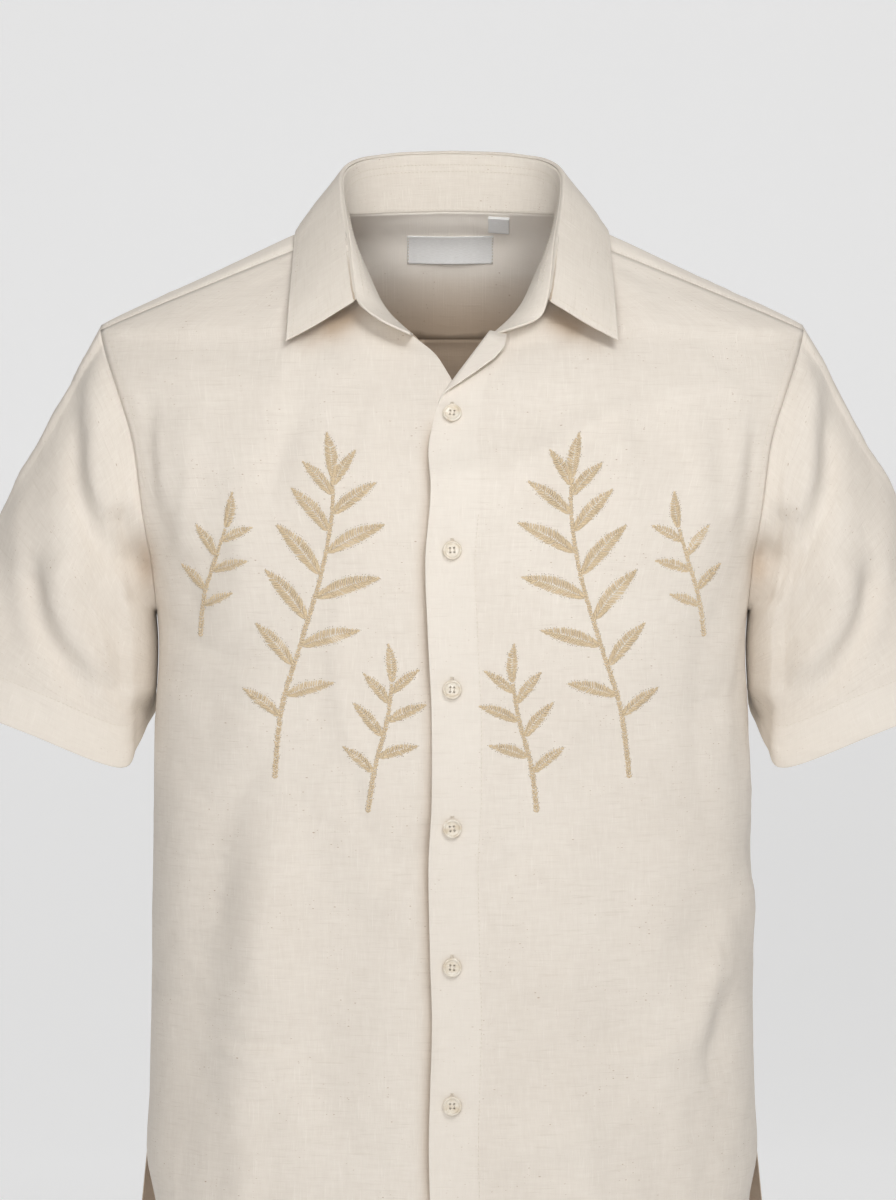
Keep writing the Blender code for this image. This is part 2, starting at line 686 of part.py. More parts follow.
def trim_grid(low, high, steps, rows, base):
    """Small flat trim laid on the inner side of the yoke."""
    quads = []
    count = base.shape[1]
    for i in range(base.shape[0] - 1):
        for j in range(count - 1):
            a = i * count + j
            quads.append((a, a + 1, a + count + 1, a + count))
    tree = BVHTree.FromPolygons([tuple(p) for p in base.reshape(-1, 3)], quads)
    points = np.zeros((rows + 1, steps + 1, 3))
    for i, z in enumerate(np.linspace(low[1], high[1], rows + 1)):
        for j, x in enumerate(np.linspace(low[0], high[0], steps + 1)):
            place, normal = tree.ray_cast(Vector((x, SIDE_Y, z)), Vector((0, 1, 0)))[:2]
            inward = normal if normal.y < 0 else -normal
            points[i, j] = place + inward * (CLOTH / 2 + TRIM_GAP + TRIM_THICK / 2)
    return points


def border(shape, wrap):
    """Border vertices of a grid, each with its neighbours along the border and across."""
    rows, columns = shape[:2]
    found = {}

    def note(one, two, inside_one, inside_two):
        found.setdefault(one, []).append((two, inside_one, inside_two))
        found.setdefault(two, []).append((one, inside_one, inside_two))

    for j in range(columns if wrap else columns - 1):
        k = (j + 1) % columns
        note((0, j), (0, k), (1, j), (1, k))
        note((rows - 1, j), (rows - 1, k), (rows - 2, j), (rows - 2, k))
    if not wrap:
        for i in range(rows - 1):
            note((i, 0), (i + 1, 0), (i, 1), (i + 1, 1))
            last = columns - 1
            note((i, last), (i + 1, last), (i, last - 1), (i + 1, last - 1))
    return found


def key_of(point):
    return tuple(int(round(c * 20000)) for c in point)


class Sheet:
    """A grid of middle points with its thickness."""

    def __init__(self, name, points, thick=CLOTH, wrap=False, gap=SEAM_GAP / 2):
        self.name = name
        self.gap = gap
        self.points = np.asarray(points, float)
        self.thick = thick
        self.wrap = wrap
        self.normals = self.make_normals()
        self.border = border(self.points.shape, wrap)
        self.inward = {spot: self.to_inside(spot) for spot in self.border}

    def to_inside(self, spot):
        """Directions into the piece, square to each edge that meets here."""
        found = []
        for other, inside_one, inside_two in self.border[spot]:
            edge = self.points[other] - self.points[spot]
            middle = (self.points[other] + self.points[spot]) / 2
            step = (self.points[inside_one] + self.points[inside_two]) / 2 - middle
            square = np.cross(self.normals[spot], edge)
            square *= np.sign(square.dot(step))
            found.append(square / max(np.linalg.norm(square), 1e-12))
        return found

    def inset(self, spot):
        """Shift that keeps the border vertex clear of both its edges."""
        one, two = self.inward[spot][:2]
        return (one + two) / max(1 + one.dot(two), 0.5)

    def make_normals(self):
        if not self.wrap:
            return form_normals(self.points)
        padded = np.concatenate([self.points[:, -1:], self.points, self.points[:, :1]], 1)
        return form_normals(padded)[:, 1:-1]


def seam_normals(sheets):
    """Direction of the wall at every border vertex, shared where two pieces meet."""
    meeting = {}
    for sheet in sheets:
        for spot in sheet.border:
            meeting.setdefault(key_of(sheet.points[spot]), []).append((sheet, spot))
    for sheet in sheets:
        sheet.mitre = {}
        for spot in sheet.border:
            own = sheet.normals[spot]
            total = own.copy()
            for other, place in meeting[key_of(sheet.points[spot])]:
                if other is sheet:
                    continue
                theirs = other.normals[place]
                bends = [
                    own.dot(far) * theirs.dot(near)
                    for far in other.inward[place] for near in sheet.inward[spot]
                ]
                bend = max(bends, key=abs)
                same = own.dot(theirs) > 0 if abs(bend) < 0.02 else bend > 0
                total += theirs if same else -theirs
            size = np.linalg.norm(total)
            sheet.mitre[spot] = total / size if size > 0.3 else own


def wall(sheet):
    """Closed wall round the middle points: vertices and faces."""
    middle = sheet.points.copy()
    offset = sheet.normals * (sheet.thick / 2)
    for spot in sheet.border:
        mitre = sheet.mitre[spot]
        own = sheet.normals[spot]
        offset[spot] = mitre * (sheet.thick / 2) / max(mitre.dot(own), 0.55)
        middle[spot] = middle[spot] + sheet.inset(spot) * sheet.gap
    top = middle + offset
    low = middle - offset
    rows, columns = middle.shape[:2]
    verts = np.vstack([top.reshape(-1, 3), low.reshape(-1, 3)])
    base = rows * columns
    spans = columns if sheet.wrap else columns - 1
    faces = []
    for i in range(rows - 1):
        for j in range(spans):
            a = i * columns + j
            b = i * columns + (j + 1) % columns
            c = b + columns
            d = a + columns
            faces.append((a, b, c, d))
            faces.append((base + d, base + c, base + b, base + a))
    for j in range(spans):
        a, b = j, (j + 1) % columns
        faces.append((base + a, base + b, b, a))
        a += (rows - 1) * columns
        b += (rows - 1) * columns
        faces.append((a, b, base + b, base + a))
    if not sheet.wrap:
        for i in range(rows - 1):
            a, d = i * columns, (i + 1) * columns
            faces.append((base + a, a, d, base + d))
            a, d = a + columns - 1, d + columns - 1
            faces.append((a, base + a, base + d, d))
    return verts, faces


def volume(verts, faces):
    total = 0.0
    for face in faces:
        a = verts[face[0]]
        for k in range(1, len(face) - 1):
            total += np.dot(a, np.cross(verts[face[k]], verts[face[k + 1]])) / 6
    return total


def add_solid(name, verts, faces, colour, roughness):
    """One closed body with its own material."""
    if volume(verts, faces) < 0:
        faces = [tuple(reversed(face)) for face in faces]
    mesh = bpy.data.meshes.new(name)
    mesh.from_pydata([tuple(v) for v in verts], [], faces)
    mesh.update()
    body = bpy.data.objects.new(name, mesh)
    bpy.context.scene.collection.objects.link(body)
    material = bpy.data.materials.new(name)
    material.use_nodes = True
    shader = material.node_tree.nodes["Principled BSDF"]
    shader.inputs["Base Color"].default_value = (*colour, 1.0)
    shader.inputs["Roughness"].default_value = roughness
    material.diffuse_color = (*colour, 1.0)
    mesh.materials.append(material)
    return body


def button_mesh():
    """Four hole button lying in its own plane, face up: dished disc with a rim."""
    turns = BUTTON_TURNS
    angles = [2 * math.pi * k / turns for k in range(turns)]
    ring = [(math.cos(a), math.sin(a)) for a in angles]
    dish = BUTTON_RADIUS - DISH_INSET
    flat = [(dish * x, dish * y) for x, y in ring]
    loops = [list(range(turns))]
    for sx, sy in ((1, 1), (-1, 1), (-1, -1), (1, -1)):
        first = len(flat)
        for k in range(HOLE_TURNS):
            a = -2 * math.pi * k / HOLE_TURNS
            x = sx * HOLE_PLACE + HOLE_RADIUS * math.cos(a)
            y = sy * HOLE_PLACE + HOLE_RADIUS * math.sin(a)
            flat.append((x, y))
        loops.append(list(range(first, first + HOLE_TURNS)))
    result = delaunay_2d_cdt([Vector(p) for p in flat], [], loops, 0, 1e-7)
    cells = []
    for face in result[2]:
        x = sum(result[0][k][0] for k in face) / len(face)
        y = sum(result[0][k][1] for k in face) / len(face)
        if math.hypot(abs(x) - HOLE_PLACE, abs(y) - HOLE_PLACE) > HOLE_RADIUS * 0.8:
            cells.append(tuple(face))
    count = len(flat)
    dish_z = BUTTON_THICK - DISH_DEPTH
    verts = [(x, y, dish_z) for x, y in flat] + [(x, y, 0.0) for x, y in flat]
    faces = list(cells) + [tuple(reversed([k + count for k in face])) for face in cells]
    for loop in loops[1:]:
        for k, a in enumerate(loop):
            b = loop[(k + 1) % len(loop)]
            faces.append((b, a, a + count, b + count))
    previous = list(range(turns))
    for inset, level in BUTTON_RIM:
        radius = BUTTON_RADIUS - inset
        start = len(verts)
        verts += [(radius * x, radius * y, level) for x, y in ring]
        current = list(range(start, start + turns))
        for k in range(turns):
            n = (k + 1) % turns
            faces.append((previous[k], current[k], current[n], previous[n]))
        previous = current
    for k in range(turns):
        n = (k + 1) % turns
        faces.append((previous[k], k + count, n + count, previous[n]))
    return np.array(verts), faces


def place_button(verts, z):
    """Button plane laid on the lap of the left front."""
    span = 0.008
    slope = (surface_y(0.0, z + span, -1) - surface_y(0.0, z - span, -1)) / (2 * span)
    up = np.array([0.0, slope, 1.0])
    up /= np.linalg.norm(up)
    out = np.array([0.0, -up[2], up[1]])
    across = np.array([1.0, 0.0, 0.0])
    stand_off = LAP_LIFT + CLOTH / 2 + SEAM_GAP
    centre = np.array([0.0, float(surface_y(0.0, z, -1)), z]) + out * stand_off
    return centre + verts[:, :1] * across + verts[:, 1:2] * up + verts[:, 2:] * out


def main():
    for item in list(bpy.data.objects):
        bpy.data.objects.remove(item)
    sheets = [
        Sheet("front_left", front_left()),
        Sheet("front_right", front_right()),
        Sheet("back", back_grid()),
        Sheet("yoke", mirrored(yoke_half())),
        Sheet("sleeve_left", sleeve_grid(1), wrap=True, gap=SLEEVE_GAP),
        Sheet("sleeve_right", sleeve_grid(-1), wrap=True, gap=SLEEVE_GAP),
        Sheet("collar_stand", stand_grid(), COLLAR_CLOTH, gap=STAND_GAP),
        Sheet("collar_leaf", leaf_grid(), COLLAR_CLOTH),
    ]
    seam_normals(sheets)
    label_low = (LABEL_MIDDLE_X - LABEL_SIZE[0] / 2, LABEL_TOP_Z - LABEL_SIZE[1])
    label_high = (LABEL_MIDDLE_X + LABEL_SIZE[0] / 2, LABEL_TOP_Z)
    tab_low = (TAB_CORNER[0], TAB_CORNER[1] - TAB_SIZE[1])
    tab_high = (TAB_CORNER[0] + TAB_SIZE[0], TAB_CORNER[1])
    yoke = mirrored(yoke_half())
    trims = [
        Sheet("neck_label", trim_grid(label_low, label_high, 8, 2, yoke), TRIM_THICK),
        Sheet("size_tab", trim_grid(tab_low, tab_high, 2, 2, yoke), TRIM_THICK),
    ]
    seam_normals(trims)
    for sheet in sheets:
        add_solid(sheet.name, *wall(sheet), LINEN, LINEN_ROUGHNESS)
    for sheet in trims:
        add_solid(sheet.name, *wall(sheet), TRIM, TRIM_ROUGHNESS)
    verts, faces = button_mesh()
    for index in range(BUTTON_COUNT):
        z = FIRST_BUTTON_Z - index * BUTTON_PITCH
        name = f"button_{index + 1}"
        add_solid(name, place_button(verts, z), faces, SHELL, SHELL_ROUGHNESS)
    for body in bpy.data.objects:
        count = sum(len(p.vertices) - 2 for p in body.data.polygons)
        low = np.min([v.co for v in body.data.vertices], 0).round(4)
        high = np.max([v.co for v in body.data.vertices], 0).round(4)
        print(body.name, "triangles", count, "from", low, "to", high)


main()
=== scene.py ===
# %% [markdown]
# A short sleeved linen shirt, filled out as if worn and hollow inside. The packed model gives the
# frame: origin on the centre back neck seam, +X to the wearer's left, -Y to the front, +Z up.
# This lesson covers it with cloth, sewing, buttons and embroidery, a piece at a time.

# %% Load the packed model
import math
import bpy
import numpy as np
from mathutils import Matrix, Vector
from mathutils.bvhtree import BVHTree
from mathutils.geometry import delaunay_2d_cdt


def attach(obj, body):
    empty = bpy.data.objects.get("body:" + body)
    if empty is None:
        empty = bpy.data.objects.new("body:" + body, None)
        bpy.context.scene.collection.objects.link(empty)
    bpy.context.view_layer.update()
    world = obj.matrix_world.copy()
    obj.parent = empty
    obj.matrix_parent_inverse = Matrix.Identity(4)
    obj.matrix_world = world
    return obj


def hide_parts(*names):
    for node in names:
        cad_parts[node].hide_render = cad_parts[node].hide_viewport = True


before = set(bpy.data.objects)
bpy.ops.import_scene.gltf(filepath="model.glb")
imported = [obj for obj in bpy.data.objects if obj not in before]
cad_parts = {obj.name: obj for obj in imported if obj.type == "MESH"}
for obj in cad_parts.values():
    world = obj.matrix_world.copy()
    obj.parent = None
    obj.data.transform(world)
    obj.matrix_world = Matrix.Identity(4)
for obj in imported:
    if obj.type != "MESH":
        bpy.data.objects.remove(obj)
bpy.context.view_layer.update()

print("nodes in the frame:", len(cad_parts))

# %% [markdown]
# The camera comes first, because every later choice is judged through it. A long lens from a few
# metres keeps the shirt's sides straight, as in a catalogue picture, and needs no shift.

# %% Camera
CAMERA_AT = (-0.0028, -2.383, -0.2774)
camera_data = bpy.data.cameras.new("camera")
camera_data.lens = 100
camera_data.sensor_width = 36
camera = bpy.data.objects.new("camera", camera_data)
camera.location = CAMERA_AT
camera.rotation_euler = (math.radians(90), 0, 0)
bpy.context.scene.collection.objects.link(camera)
bpy.context.scene.camera = camera
print("camera", CAMERA_AT, "lens", camera_data.lens)

# %% [markdown]
# A plain pale sweep stands behind and below the shirt: a floor that curves up into a wall. One
# curved sheet leaves no hard horizon line, which two flat planes would show.

# %% Floor and backdrop
FLOOR_Z = -1.02
FLOOR_FRONT_Y = -4.5
WALL_Y = 3.0
WALL_TOP_Z = 5.0
SWEEP_RADIUS = 1.0
SWEEP_STEPS = 16
SWEEP_HALF_WIDTH = 6.0


def in_scene(name, mesh, material):
    """A smooth shaded object of a mesh, linked to the scene."""
    mesh.polygons.foreach_set("use_smooth", np.ones(len(mesh.polygons), bool))
    if material:
        mesh.materials.append(material)
    thing = bpy.data.objects.new(name, mesh)
    bpy.context.scene.collection.objects.link(thing)
    return thing


def plain_object(name, verts, faces, material=None):
    """An object from lists of points and of faces with any number of corners."""
    mesh = bpy.data.meshes.new(name)
    mesh.from_pydata([tuple(v) for v in verts], [], faces)
    mesh.update()
    return in_scene(name, mesh, material)


def sweep():
    """One ruled sheet: the floor, a quarter turn and the wall."""
    profile = [(FLOOR_FRONT_Y, FLOOR_Z)]
    for k in range(SWEEP_STEPS + 1):
        turn = math.pi / 2 * k / SWEEP_STEPS
        profile.append((
            WALL_Y - SWEEP_RADIUS + SWEEP_RADIUS * math.sin(turn),
            FLOOR_Z + SWEEP_RADIUS * (1 - math.cos(turn)),
        ))
    profile.append((WALL_Y, WALL_TOP_Z))
    verts = [(x, y, z) for y, z in profile for x in (-SWEEP_HALF_WIDTH, SWEEP_HALF_WIDTH)]
    faces = [(2 * k, 2 * k + 1, 2 * k + 3, 2 * k + 2) for k in range(len(profile) - 1)]
    return plain_object("backdrop", verts, faces)


backdrop = sweep()
print("backdrop points", len(backdrop.data.vertices))

# %% [markdown]
# Soft studio light comes from large area lamps. The key stands above and before the shirt, to the
# wearer's left. A broad lower fill before the shirt keeps its folds readable, and a top lamp lights
# the shoulders. One lamp is for the wall, and a small narrow one from below is aimed at the neck.
# The world adds a little warm light from everywhere, so that the inside is dim but never black.

# %% Lights
WORLD_COLOUR = (1.0, 0.965, 0.92, 1)
WORLD_STRENGTH = 0.2


def area_lamp(name, place, target, size, power):
    """A rectangular lamp at a place, turned to a target."""
    data = bpy.data.lights.new(name, "AREA")
    data.shape = "RECTANGLE"
    data.size, data.size_y = size
    data.energy = power
    lamp = bpy.data.objects.new(name, data)
    lamp.location = place
    way = Vector(target) - Vector(place)
    lamp.rotation_euler = way.to_track_quat("-Z", "Y").to_euler()
    bpy.context.scene.collection.objects.link(lamp)
    return lamp


area_lamp("key_lamp", (0.7, -2.1, 1.35), (0.0, 0.0, -0.1), (1.1, 0.9), 27)
area_lamp("fill_lamp", (-0.5, -2.9, 0.2), (0.0, 0.0, -0.05), (1.2, 1.0), 20)
area_lamp("top_lamp", (0.0, -1.9, 2.4), (0.0, -0.1, -0.3), (1.4, 0.8), 9)
area_lamp("wall_lamp", (0.0, 1.7, 2.6), (0.0, 3.0, 0.1), (4.6, 0.8), 10)
low_lamp = area_lamp("low_lamp", (0.0, -1.6, -0.55), (0.0, 0.02, -0.03), (0.3, 0.2), 0.05)
low_lamp.data.spread = math.radians(26)
world = bpy.data.worlds.new("studio")
world.use_nodes = True
sky = world.node_tree.nodes["Background"]
sky.inputs["Color"].default_value = WORLD_COLOUR
sky.inputs["Strength"].default_value = WORLD_STRENGTH
bpy.context.scene.world = world
bpy.context.scene.view_settings.view_transform = "Standard"

# %% [markdown]
# Shader maths reads best as plain expressions. This small class wraps a socket, so that a line such
# as warp * 0.5 + weft * 0.5 adds its Math nodes by itself. Colours and vectors go through Mix and
# Vector Math nodes, and one method adds any other kind.

# %% A socket that can be reckoned with
class Value:
    """A shader socket with arithmetic."""

    def __init__(self, tree, socket):
        self.tree = tree
        self.socket = socket

    def node(self, kind, settings=None, out=0, **inputs):
        """Any node: settings first, then values or links of its sockets by name or index."""
        node = self.tree.nodes.new(kind)
        for key, value in (settings or {}).items():
            setattr(node, key, value)
        for key, value in inputs.items():
            name = int(key[1:]) if key[0] == "i" and key[1:].isdigit() else key.replace("_", " ")
            socket = node.inputs[name]
            if isinstance(value, Value):
                self.tree.links.new(value.socket, socket)
            else:
                socket.default_value = value
        return Value(self.tree, node.outputs[out])

    def maths(self, operation, *values):
        inputs = {f"i{k}": value for k, value in enumerate(values)}
        return self.node("ShaderNodeMath", {"operation": operation}, **inputs)

    def __add__(self, other):
        return self.maths("ADD", self, other)

    def __sub__(self, other):
        return self.maths("SUBTRACT", self, other)

    def __mul__(self, other):
        return self.maths("MULTIPLY", self, other)

    def over(self, low, high):
        """0 below low, 1 above high, smooth between."""
        return self.node(
            "ShaderNodeMapRange", {"interpolation_type": "SMOOTHSTEP"},
            i0=self, i1=low, i2=high, i3=0.0, i4=1.0,
        )

    def blend(self, one, two):
        """Colour one where this is 0, colour two where it is 1."""
        return self.node("ShaderNodeMix", {"data_type": "RGBA"}, out=2, i0=self, i6=one, i7=two)

    def scaled(self, scale):
        """A vector with each axis multiplied."""
        return self.node("ShaderNodeVectorMath", {"operation": "MULTIPLY"}, i0=self, i1=scale)

    def noise(self, scale, detail=2.0, rough=0.5):
        return self.node(
            "ShaderNodeTexNoise", {"noise_dimensions": "3D"},
            Vector=self, Scale=scale, Detail=detail, Roughness=rough,
        )


def new_material(name, colour, roughness, **uniform):
    """A Principled material, its shader node and a Value to start from."""
    material = bpy.data.materials.new(name)
    material.use_nodes = True
    tree = material.node_tree
    shader = tree.nodes["Principled BSDF"]
    shader.inputs["Base Color"].default_value = (*colour, 1)
    shader.inputs["Roughness"].default_value = roughness
    for key, value in uniform.items():
        shader.inputs[key.replace("_", " ")].default_value = value
    return material, shader, Value(tree, None)


def feed(shader, socket, value):
    """Links a value to a socket of the shader."""
    value.tree.links.new(value.socket, shader.inputs[socket])


def bumped(shader, relief, distance, strength):
    """Small relief: distance in metres for a full step of the relief."""
    bump = relief.node("ShaderNodeBump", Strength=strength, Distance=distance, Height=relief)
    feed(shader, "Normal", bump)


print("Value has", len([n for n in vars(Value) if not n.startswith("__")]), "named methods")

# %% [markdown]
# The shirt's form is a table of cross sections, the same one that the packed model was made from,
# so the cloth lies where the frame's solids lie. Between the rows a smooth curve is drawn. Every
# panel is then a grid of points on this form, finer here than in the frame by the factor FINE.

# %% Measures of the shirt, in metres
FINE = 7
SIDE_Y = -0.05
ROUNDNESS = 2.4
HEM_Z = -0.745
VENT_Z = -0.658
ARMPIT_Z = -0.284
YOKE_SEAM_Z = -0.087
LAP_EDGE_X = -0.0147
UNDER_EDGE_X = 0.018
LAP_LIFT = 0.0015
ROLL_RADIUS = 0.0022
PLEAT_HALF = 0.019
PLEAT_STEP = 0.0025
PLEAT_LIFT = 0.0024
BUTTON_RADIUS = 0.00635
BUTTON_THICK = 0.0026
BUTTON_PITCH = 0.0918
FIRST_BUTTON_Z = -0.1529
BUTTON_COUNT = 6
BUTTON_LEVELS = [FIRST_BUTTON_Z - k * BUTTON_PITCH for k in range(BUTTON_COUNT)]
# Side vents: how far the front edge goes in and forward and the back edge out and back, and the
# angle round the body over which this fades
VENT_FRONT = (0.005, 0.008)
VENT_BACK = (0.0075, 0.002)
VENT_SPREAD = 0.3
# The lap stands off what lies under it out to this distance from the centre, then fades
LAP_HALF = 0.022
LAP_FADE = 0.03
# Rows of cloth from the hem to the armpit, and grid cells along each seam
BODY_LEVELS = np.concatenate([
    np.linspace(HEM_Z, VENT_Z, 29)[:-1],
    np.linspace(VENT_Z, ARMPIT_Z, 118),
])
YOKE_NECK = 7 * FINE
FRONT_NECK = 6 * FINE
SHOULDER = 7 * FINE
ARM_FRONT = 9 * FINE
ARM_YOKE = 5 * FINE
ARM_BACK = 9 * FINE
SLEEVE_ROWS = 12 * FINE
STAND_ROWS = 18
LEAF_STEPS = 11 * FINE

# Cross sections of the filled out body: level, half width, front y, back y
SLICES = (
    (0.01, 0.034, -0.044, -0.018),
    (0.0, 0.055, -0.052, 0.0),
    (-0.008, 0.0735, -0.06, 0.008),
    (-0.0219, 0.109, -0.07, 0.021),
    (-0.05, 0.1683, -0.09, 0.033),
    (-0.0863, 0.2452, -0.113, 0.047),
    (-0.1, 0.251, -0.121, 0.0515),
    (-0.135, 0.2526, -0.144, 0.062),
    (-0.2, 0.236, -0.168, 0.073),
    (-0.284, 0.2058, -0.18, 0.076),
    (-0.389, 0.2072, -0.181, 0.075),
    (-0.5994, 0.2104, -0.177, 0.072),
    (-0.655, 0.2127, -0.175, 0.071),
    (-0.745, 0.214, -0.172, 0.07),
)

# Neck seam behind the shoulder seam: x, y.  Before it: x, z
NECK_BACK = (
    (0.0, 0.0), (0.018, -0.001), (0.034, -0.005), (0.048, -0.0125),
    (0.06, -0.0235), (0.0685, -0.037), (0.0722, -0.0505), (0.0705, -0.064),
)
NECK_FRONT = (
    (0.065, -0.0365), (0.0572, -0.0545), (0.05, -0.071),
    (0.0437, -0.081), (0.0364, -0.089), (0.0266, -0.098),
)

# Collar fold line, then the free leaf edge: x, y, z
FOLD = (
    (0.0, 0.006, 0.0425), (0.019, 0.0055, 0.042), (0.036, 0.003, 0.041),
    (0.051, -0.003, 0.0385), (0.0635, -0.013, 0.035), (0.072, -0.028, 0.029),
    (0.076, -0.045, 0.021), (0.0765, -0.062, 0.01), (0.074, -0.083, -0.01),
    (0.0705, -0.1, -0.031), (0.068, -0.114, -0.0535), (0.065, -0.124, -0.0735),
)
LEAF_EDGE = (
    (0.0, 0.029, -0.002), (0.026, 0.0275, -0.0025), (0.05, 0.0225, -0.0045),
    (0.071, 0.0125, -0.0075), (0.088, -0.002, -0.011), (0.0995, -0.02, -0.016),
    (0.1065, -0.041, -0.02), (0.109, -0.062, -0.024), (0.1098, -0.083, -0.04),
    (0.1105, -0.101, -0.06), (0.1115, -0.116, -0.082), (0.1125, -0.128, -0.1022),
)
# Free end of the stand beyond the leaf: x, lift off the chest, z, for each side
TAB_LEFT = ((0.059, 0.015, -0.0865), (0.0405, 0.0135, -0.0938))
TAB_RIGHT = ((0.05, 0.021, -0.0875), (0.0285, 0.018, -0.098))

# Armhole from the underarm to the front shoulder seam, and on the back up to the yoke seam: x, z
ARMHOLE_FRONT = (
    (0.2058, -0.284), (0.2046, -0.279), (0.206, -0.258), (0.2124, -0.2078),
    (0.2151, -0.186), (0.219, -0.165), (0.2289, -0.1354), (0.24, -0.105),
    (0.2435, -0.0905),
)
ARMHOLE_BACK = (
    (0.2058, -0.284), (0.2046, -0.278), (0.209, -0.25), (0.216, -0.215),
    (0.2225, -0.18), (0.23, -0.15), (0.237, -0.123), (0.2425, -0.093),
)
# Outer end of the yoke from the front shoulder seam to the yoke seam: x, y
YOKE_END = ((0.2435, -0.0668), (0.2452, -0.05), (0.2448, -0.035), (0.2425, -0.0198))

# Sleeve hem from the underarm round the front, the outside and the back: share, x, y, z
SLEEVE_HEM = (
    (0.0, 0.213, -0.05, -0.364),
    (0.06, 0.2185, -0.076, -0.38),
    (0.12, 0.23, -0.094, -0.3925),
    (0.26, 0.29, -0.109, -0.3685),
    (0.4, 0.35, -0.092, -0.3455),
    (0.5, 0.3745, -0.056, -0.3334),
    (0.6, 0.348, -0.018, -0.337),
    (0.74, 0.286, -0.001, -0.345),
    (0.88, 0.22, -0.008, -0.35),
    (0.94, 0.211, -0.023, -0.354),
    (1.0, 0.213, -0.05, -0.364),
)
# Largest folds.  Body: x, z along the fold.  Sleeve: x away from the middle, z
BODY_FOLDS = (
    (-1, 0.024, 0.005, ((-0.128, -0.3), (-0.14, -0.42), (-0.158, -0.52))),
    (-1, 0.03, -0.005, ((-0.075, -0.42), (-0.085, -0.56), (-0.08, -0.7))),
    (-1, 0.022, 0.004, ((0.18, -0.33), (0.188, -0.48), (0.17, -0.6))),
    (-1, 0.03, -0.005, ((0.095, -0.36), (0.12, -0.5), (0.11, -0.69))),
    (-1, 0.02, 0.004, ((-0.19, -0.31), (-0.18, -0.42), (-0.186, -0.56))),
    (1, 0.034, 0.007, ((0.07, -0.3), (0.085, -0.48), (0.1, -0.745))),
    (1, 0.034, 0.007, ((-0.066, -0.32), (-0.08, -0.5), (-0.104, -0.745))),
    (1, 0.03, -0.0055, ((0.15, -0.25), (0.155, -0.42), (0.15, -0.7))),
    (1, 0.03, -0.0055, ((-0.152, -0.24), (-0.15, -0.43), (-0.146, -0.7))),
)
SLEEVE_FOLDS = (
    (-1, 0.016, -0.0045, ((0.252, -0.15), (0.248, -0.2), (0.238, -0.236), (0.222, -0.268))),
    (-1, 0.018, 0.004, ((0.272, -0.19), (0.266, -0.24), (0.248, -0.282))),
    (-1, 0.014, -0.0035, ((0.288, -0.24), (0.276, -0.29), (0.256, -0.322), (0.24, -0.345))),
    (1, 0.018, -0.005, ((0.262, -0.16), (0.262, -0.22), (0.24, -0.27))),
    (1, 0.016, 0.004, ((0.3, -0.2), (0.29, -0.27), (0.262, -0.315))),
)
print("cross sections", len(SLICES), "rows of body cloth", len(BODY_LEVELS))

# %% [markdown]
# Two tools serve all tables: a smooth curve through the rows, and even steps along a line.

# %% Curves through a table
LINE_SAMPLES = 12


def spline(rows, where):
    """Smooth values through the rows of a table at index positions."""
    table = np.asarray(rows, float)
    where = np.atleast_1d(np.asarray(where, float))
    first = np.clip(np.floor(where).astype(int), 0, len(table) - 2)
    f = (where - first)[:, None]
    p0 = table[np.maximum(first - 1, 0)]
    p1 = table[first]
    p2 = table[first + 1]
    p3 = table[np.minimum(first + 2, len(table) - 1)]
    return 0.5 * (
        2 * p1 + (p2 - p0) * f + (2 * p0 - 5 * p1 + 4 * p2 - p3) * f**2
        + (3 * p1 - p0 - 3 * p2 + p3) * f**3
    )


def run_of(points):
    """Length along a line of points, or down the columns of a grid, up to each point."""
    steps = np.linalg.norm(np.diff(points, axis=0), axis=-1)
    return np.concatenate([np.zeros((1, *steps.shape[1:])), np.cumsum(steps, axis=0)])


def between(where, places, rows):
    """Rows of a table at wanted places, straight between its own places."""
    return np.stack([np.interp(where, places, column) for column in rows.T], 1)


def resample(points, count):
    """Points at even steps of length along a polyline."""
    run = run_of(points)
    return between(np.linspace(0.0, run[-1], count + 1), run, points)


def smooth_line(rows, count):
    """A table of points as a smooth line of even steps."""
    fine = spline(rows, np.linspace(0, len(rows) - 1, LINE_SAMPLES * len(rows)))
    return resample(fine, count)


def stations(rows):
    """A table of points as a smooth line with FINE steps from row to row."""
    return spline(rows, np.linspace(0, len(rows) - 1, (len(rows) - 1) * FINE + 1))


def table_at(rows, level):
    """Smooth values of a table whose first column holds the level of each row."""
    rows = np.array(rows)
    return spline(rows[:, 1:], np.interp(level, rows[:, 0], np.arange(len(rows))))


def ease(value):
    """0 up to 0, 1 from 1 on, smooth between."""
    value = np.clip(value, 0.0, 1.0)
    return value * value * (3 - 2 * value)


def unit(vectors):
    """Vectors brought to length one."""
    return vectors / np.maximum(np.linalg.norm(vectors, axis=-1, keepdims=True), 1e-15)


def crosswise(way):
    """The direction of the flat at right angles to a direction."""
    return np.array([way[1], -way[0]])


DENSE = spline(SLICES, np.linspace(0, len(SLICES) - 1, 400))[::-1]
print("form sampled at", len(DENSE), "levels")

# %% [markdown]
# A cross section is a rounded box: half an ellipse with a power of 2.4 in place of 2 before the
# side line, and half of one behind it. From it come the depth at a place on the front or back, and
# the level of the shoulder over a place in the plan.

# %% The body form
SHOULDER_LEVELS = (-0.13, 0.0099)
HALVINGS = 40


def section(z):
    """Half width, front depth and back depth of the body at a level."""
    width = np.interp(z, DENSE[:, 0], DENSE[:, 1])
    front = SIDE_Y - np.interp(z, DENSE[:, 0], DENSE[:, 2])
    back = np.interp(z, DENSE[:, 0], DENSE[:, 3]) - SIDE_Y
    return width, front, back


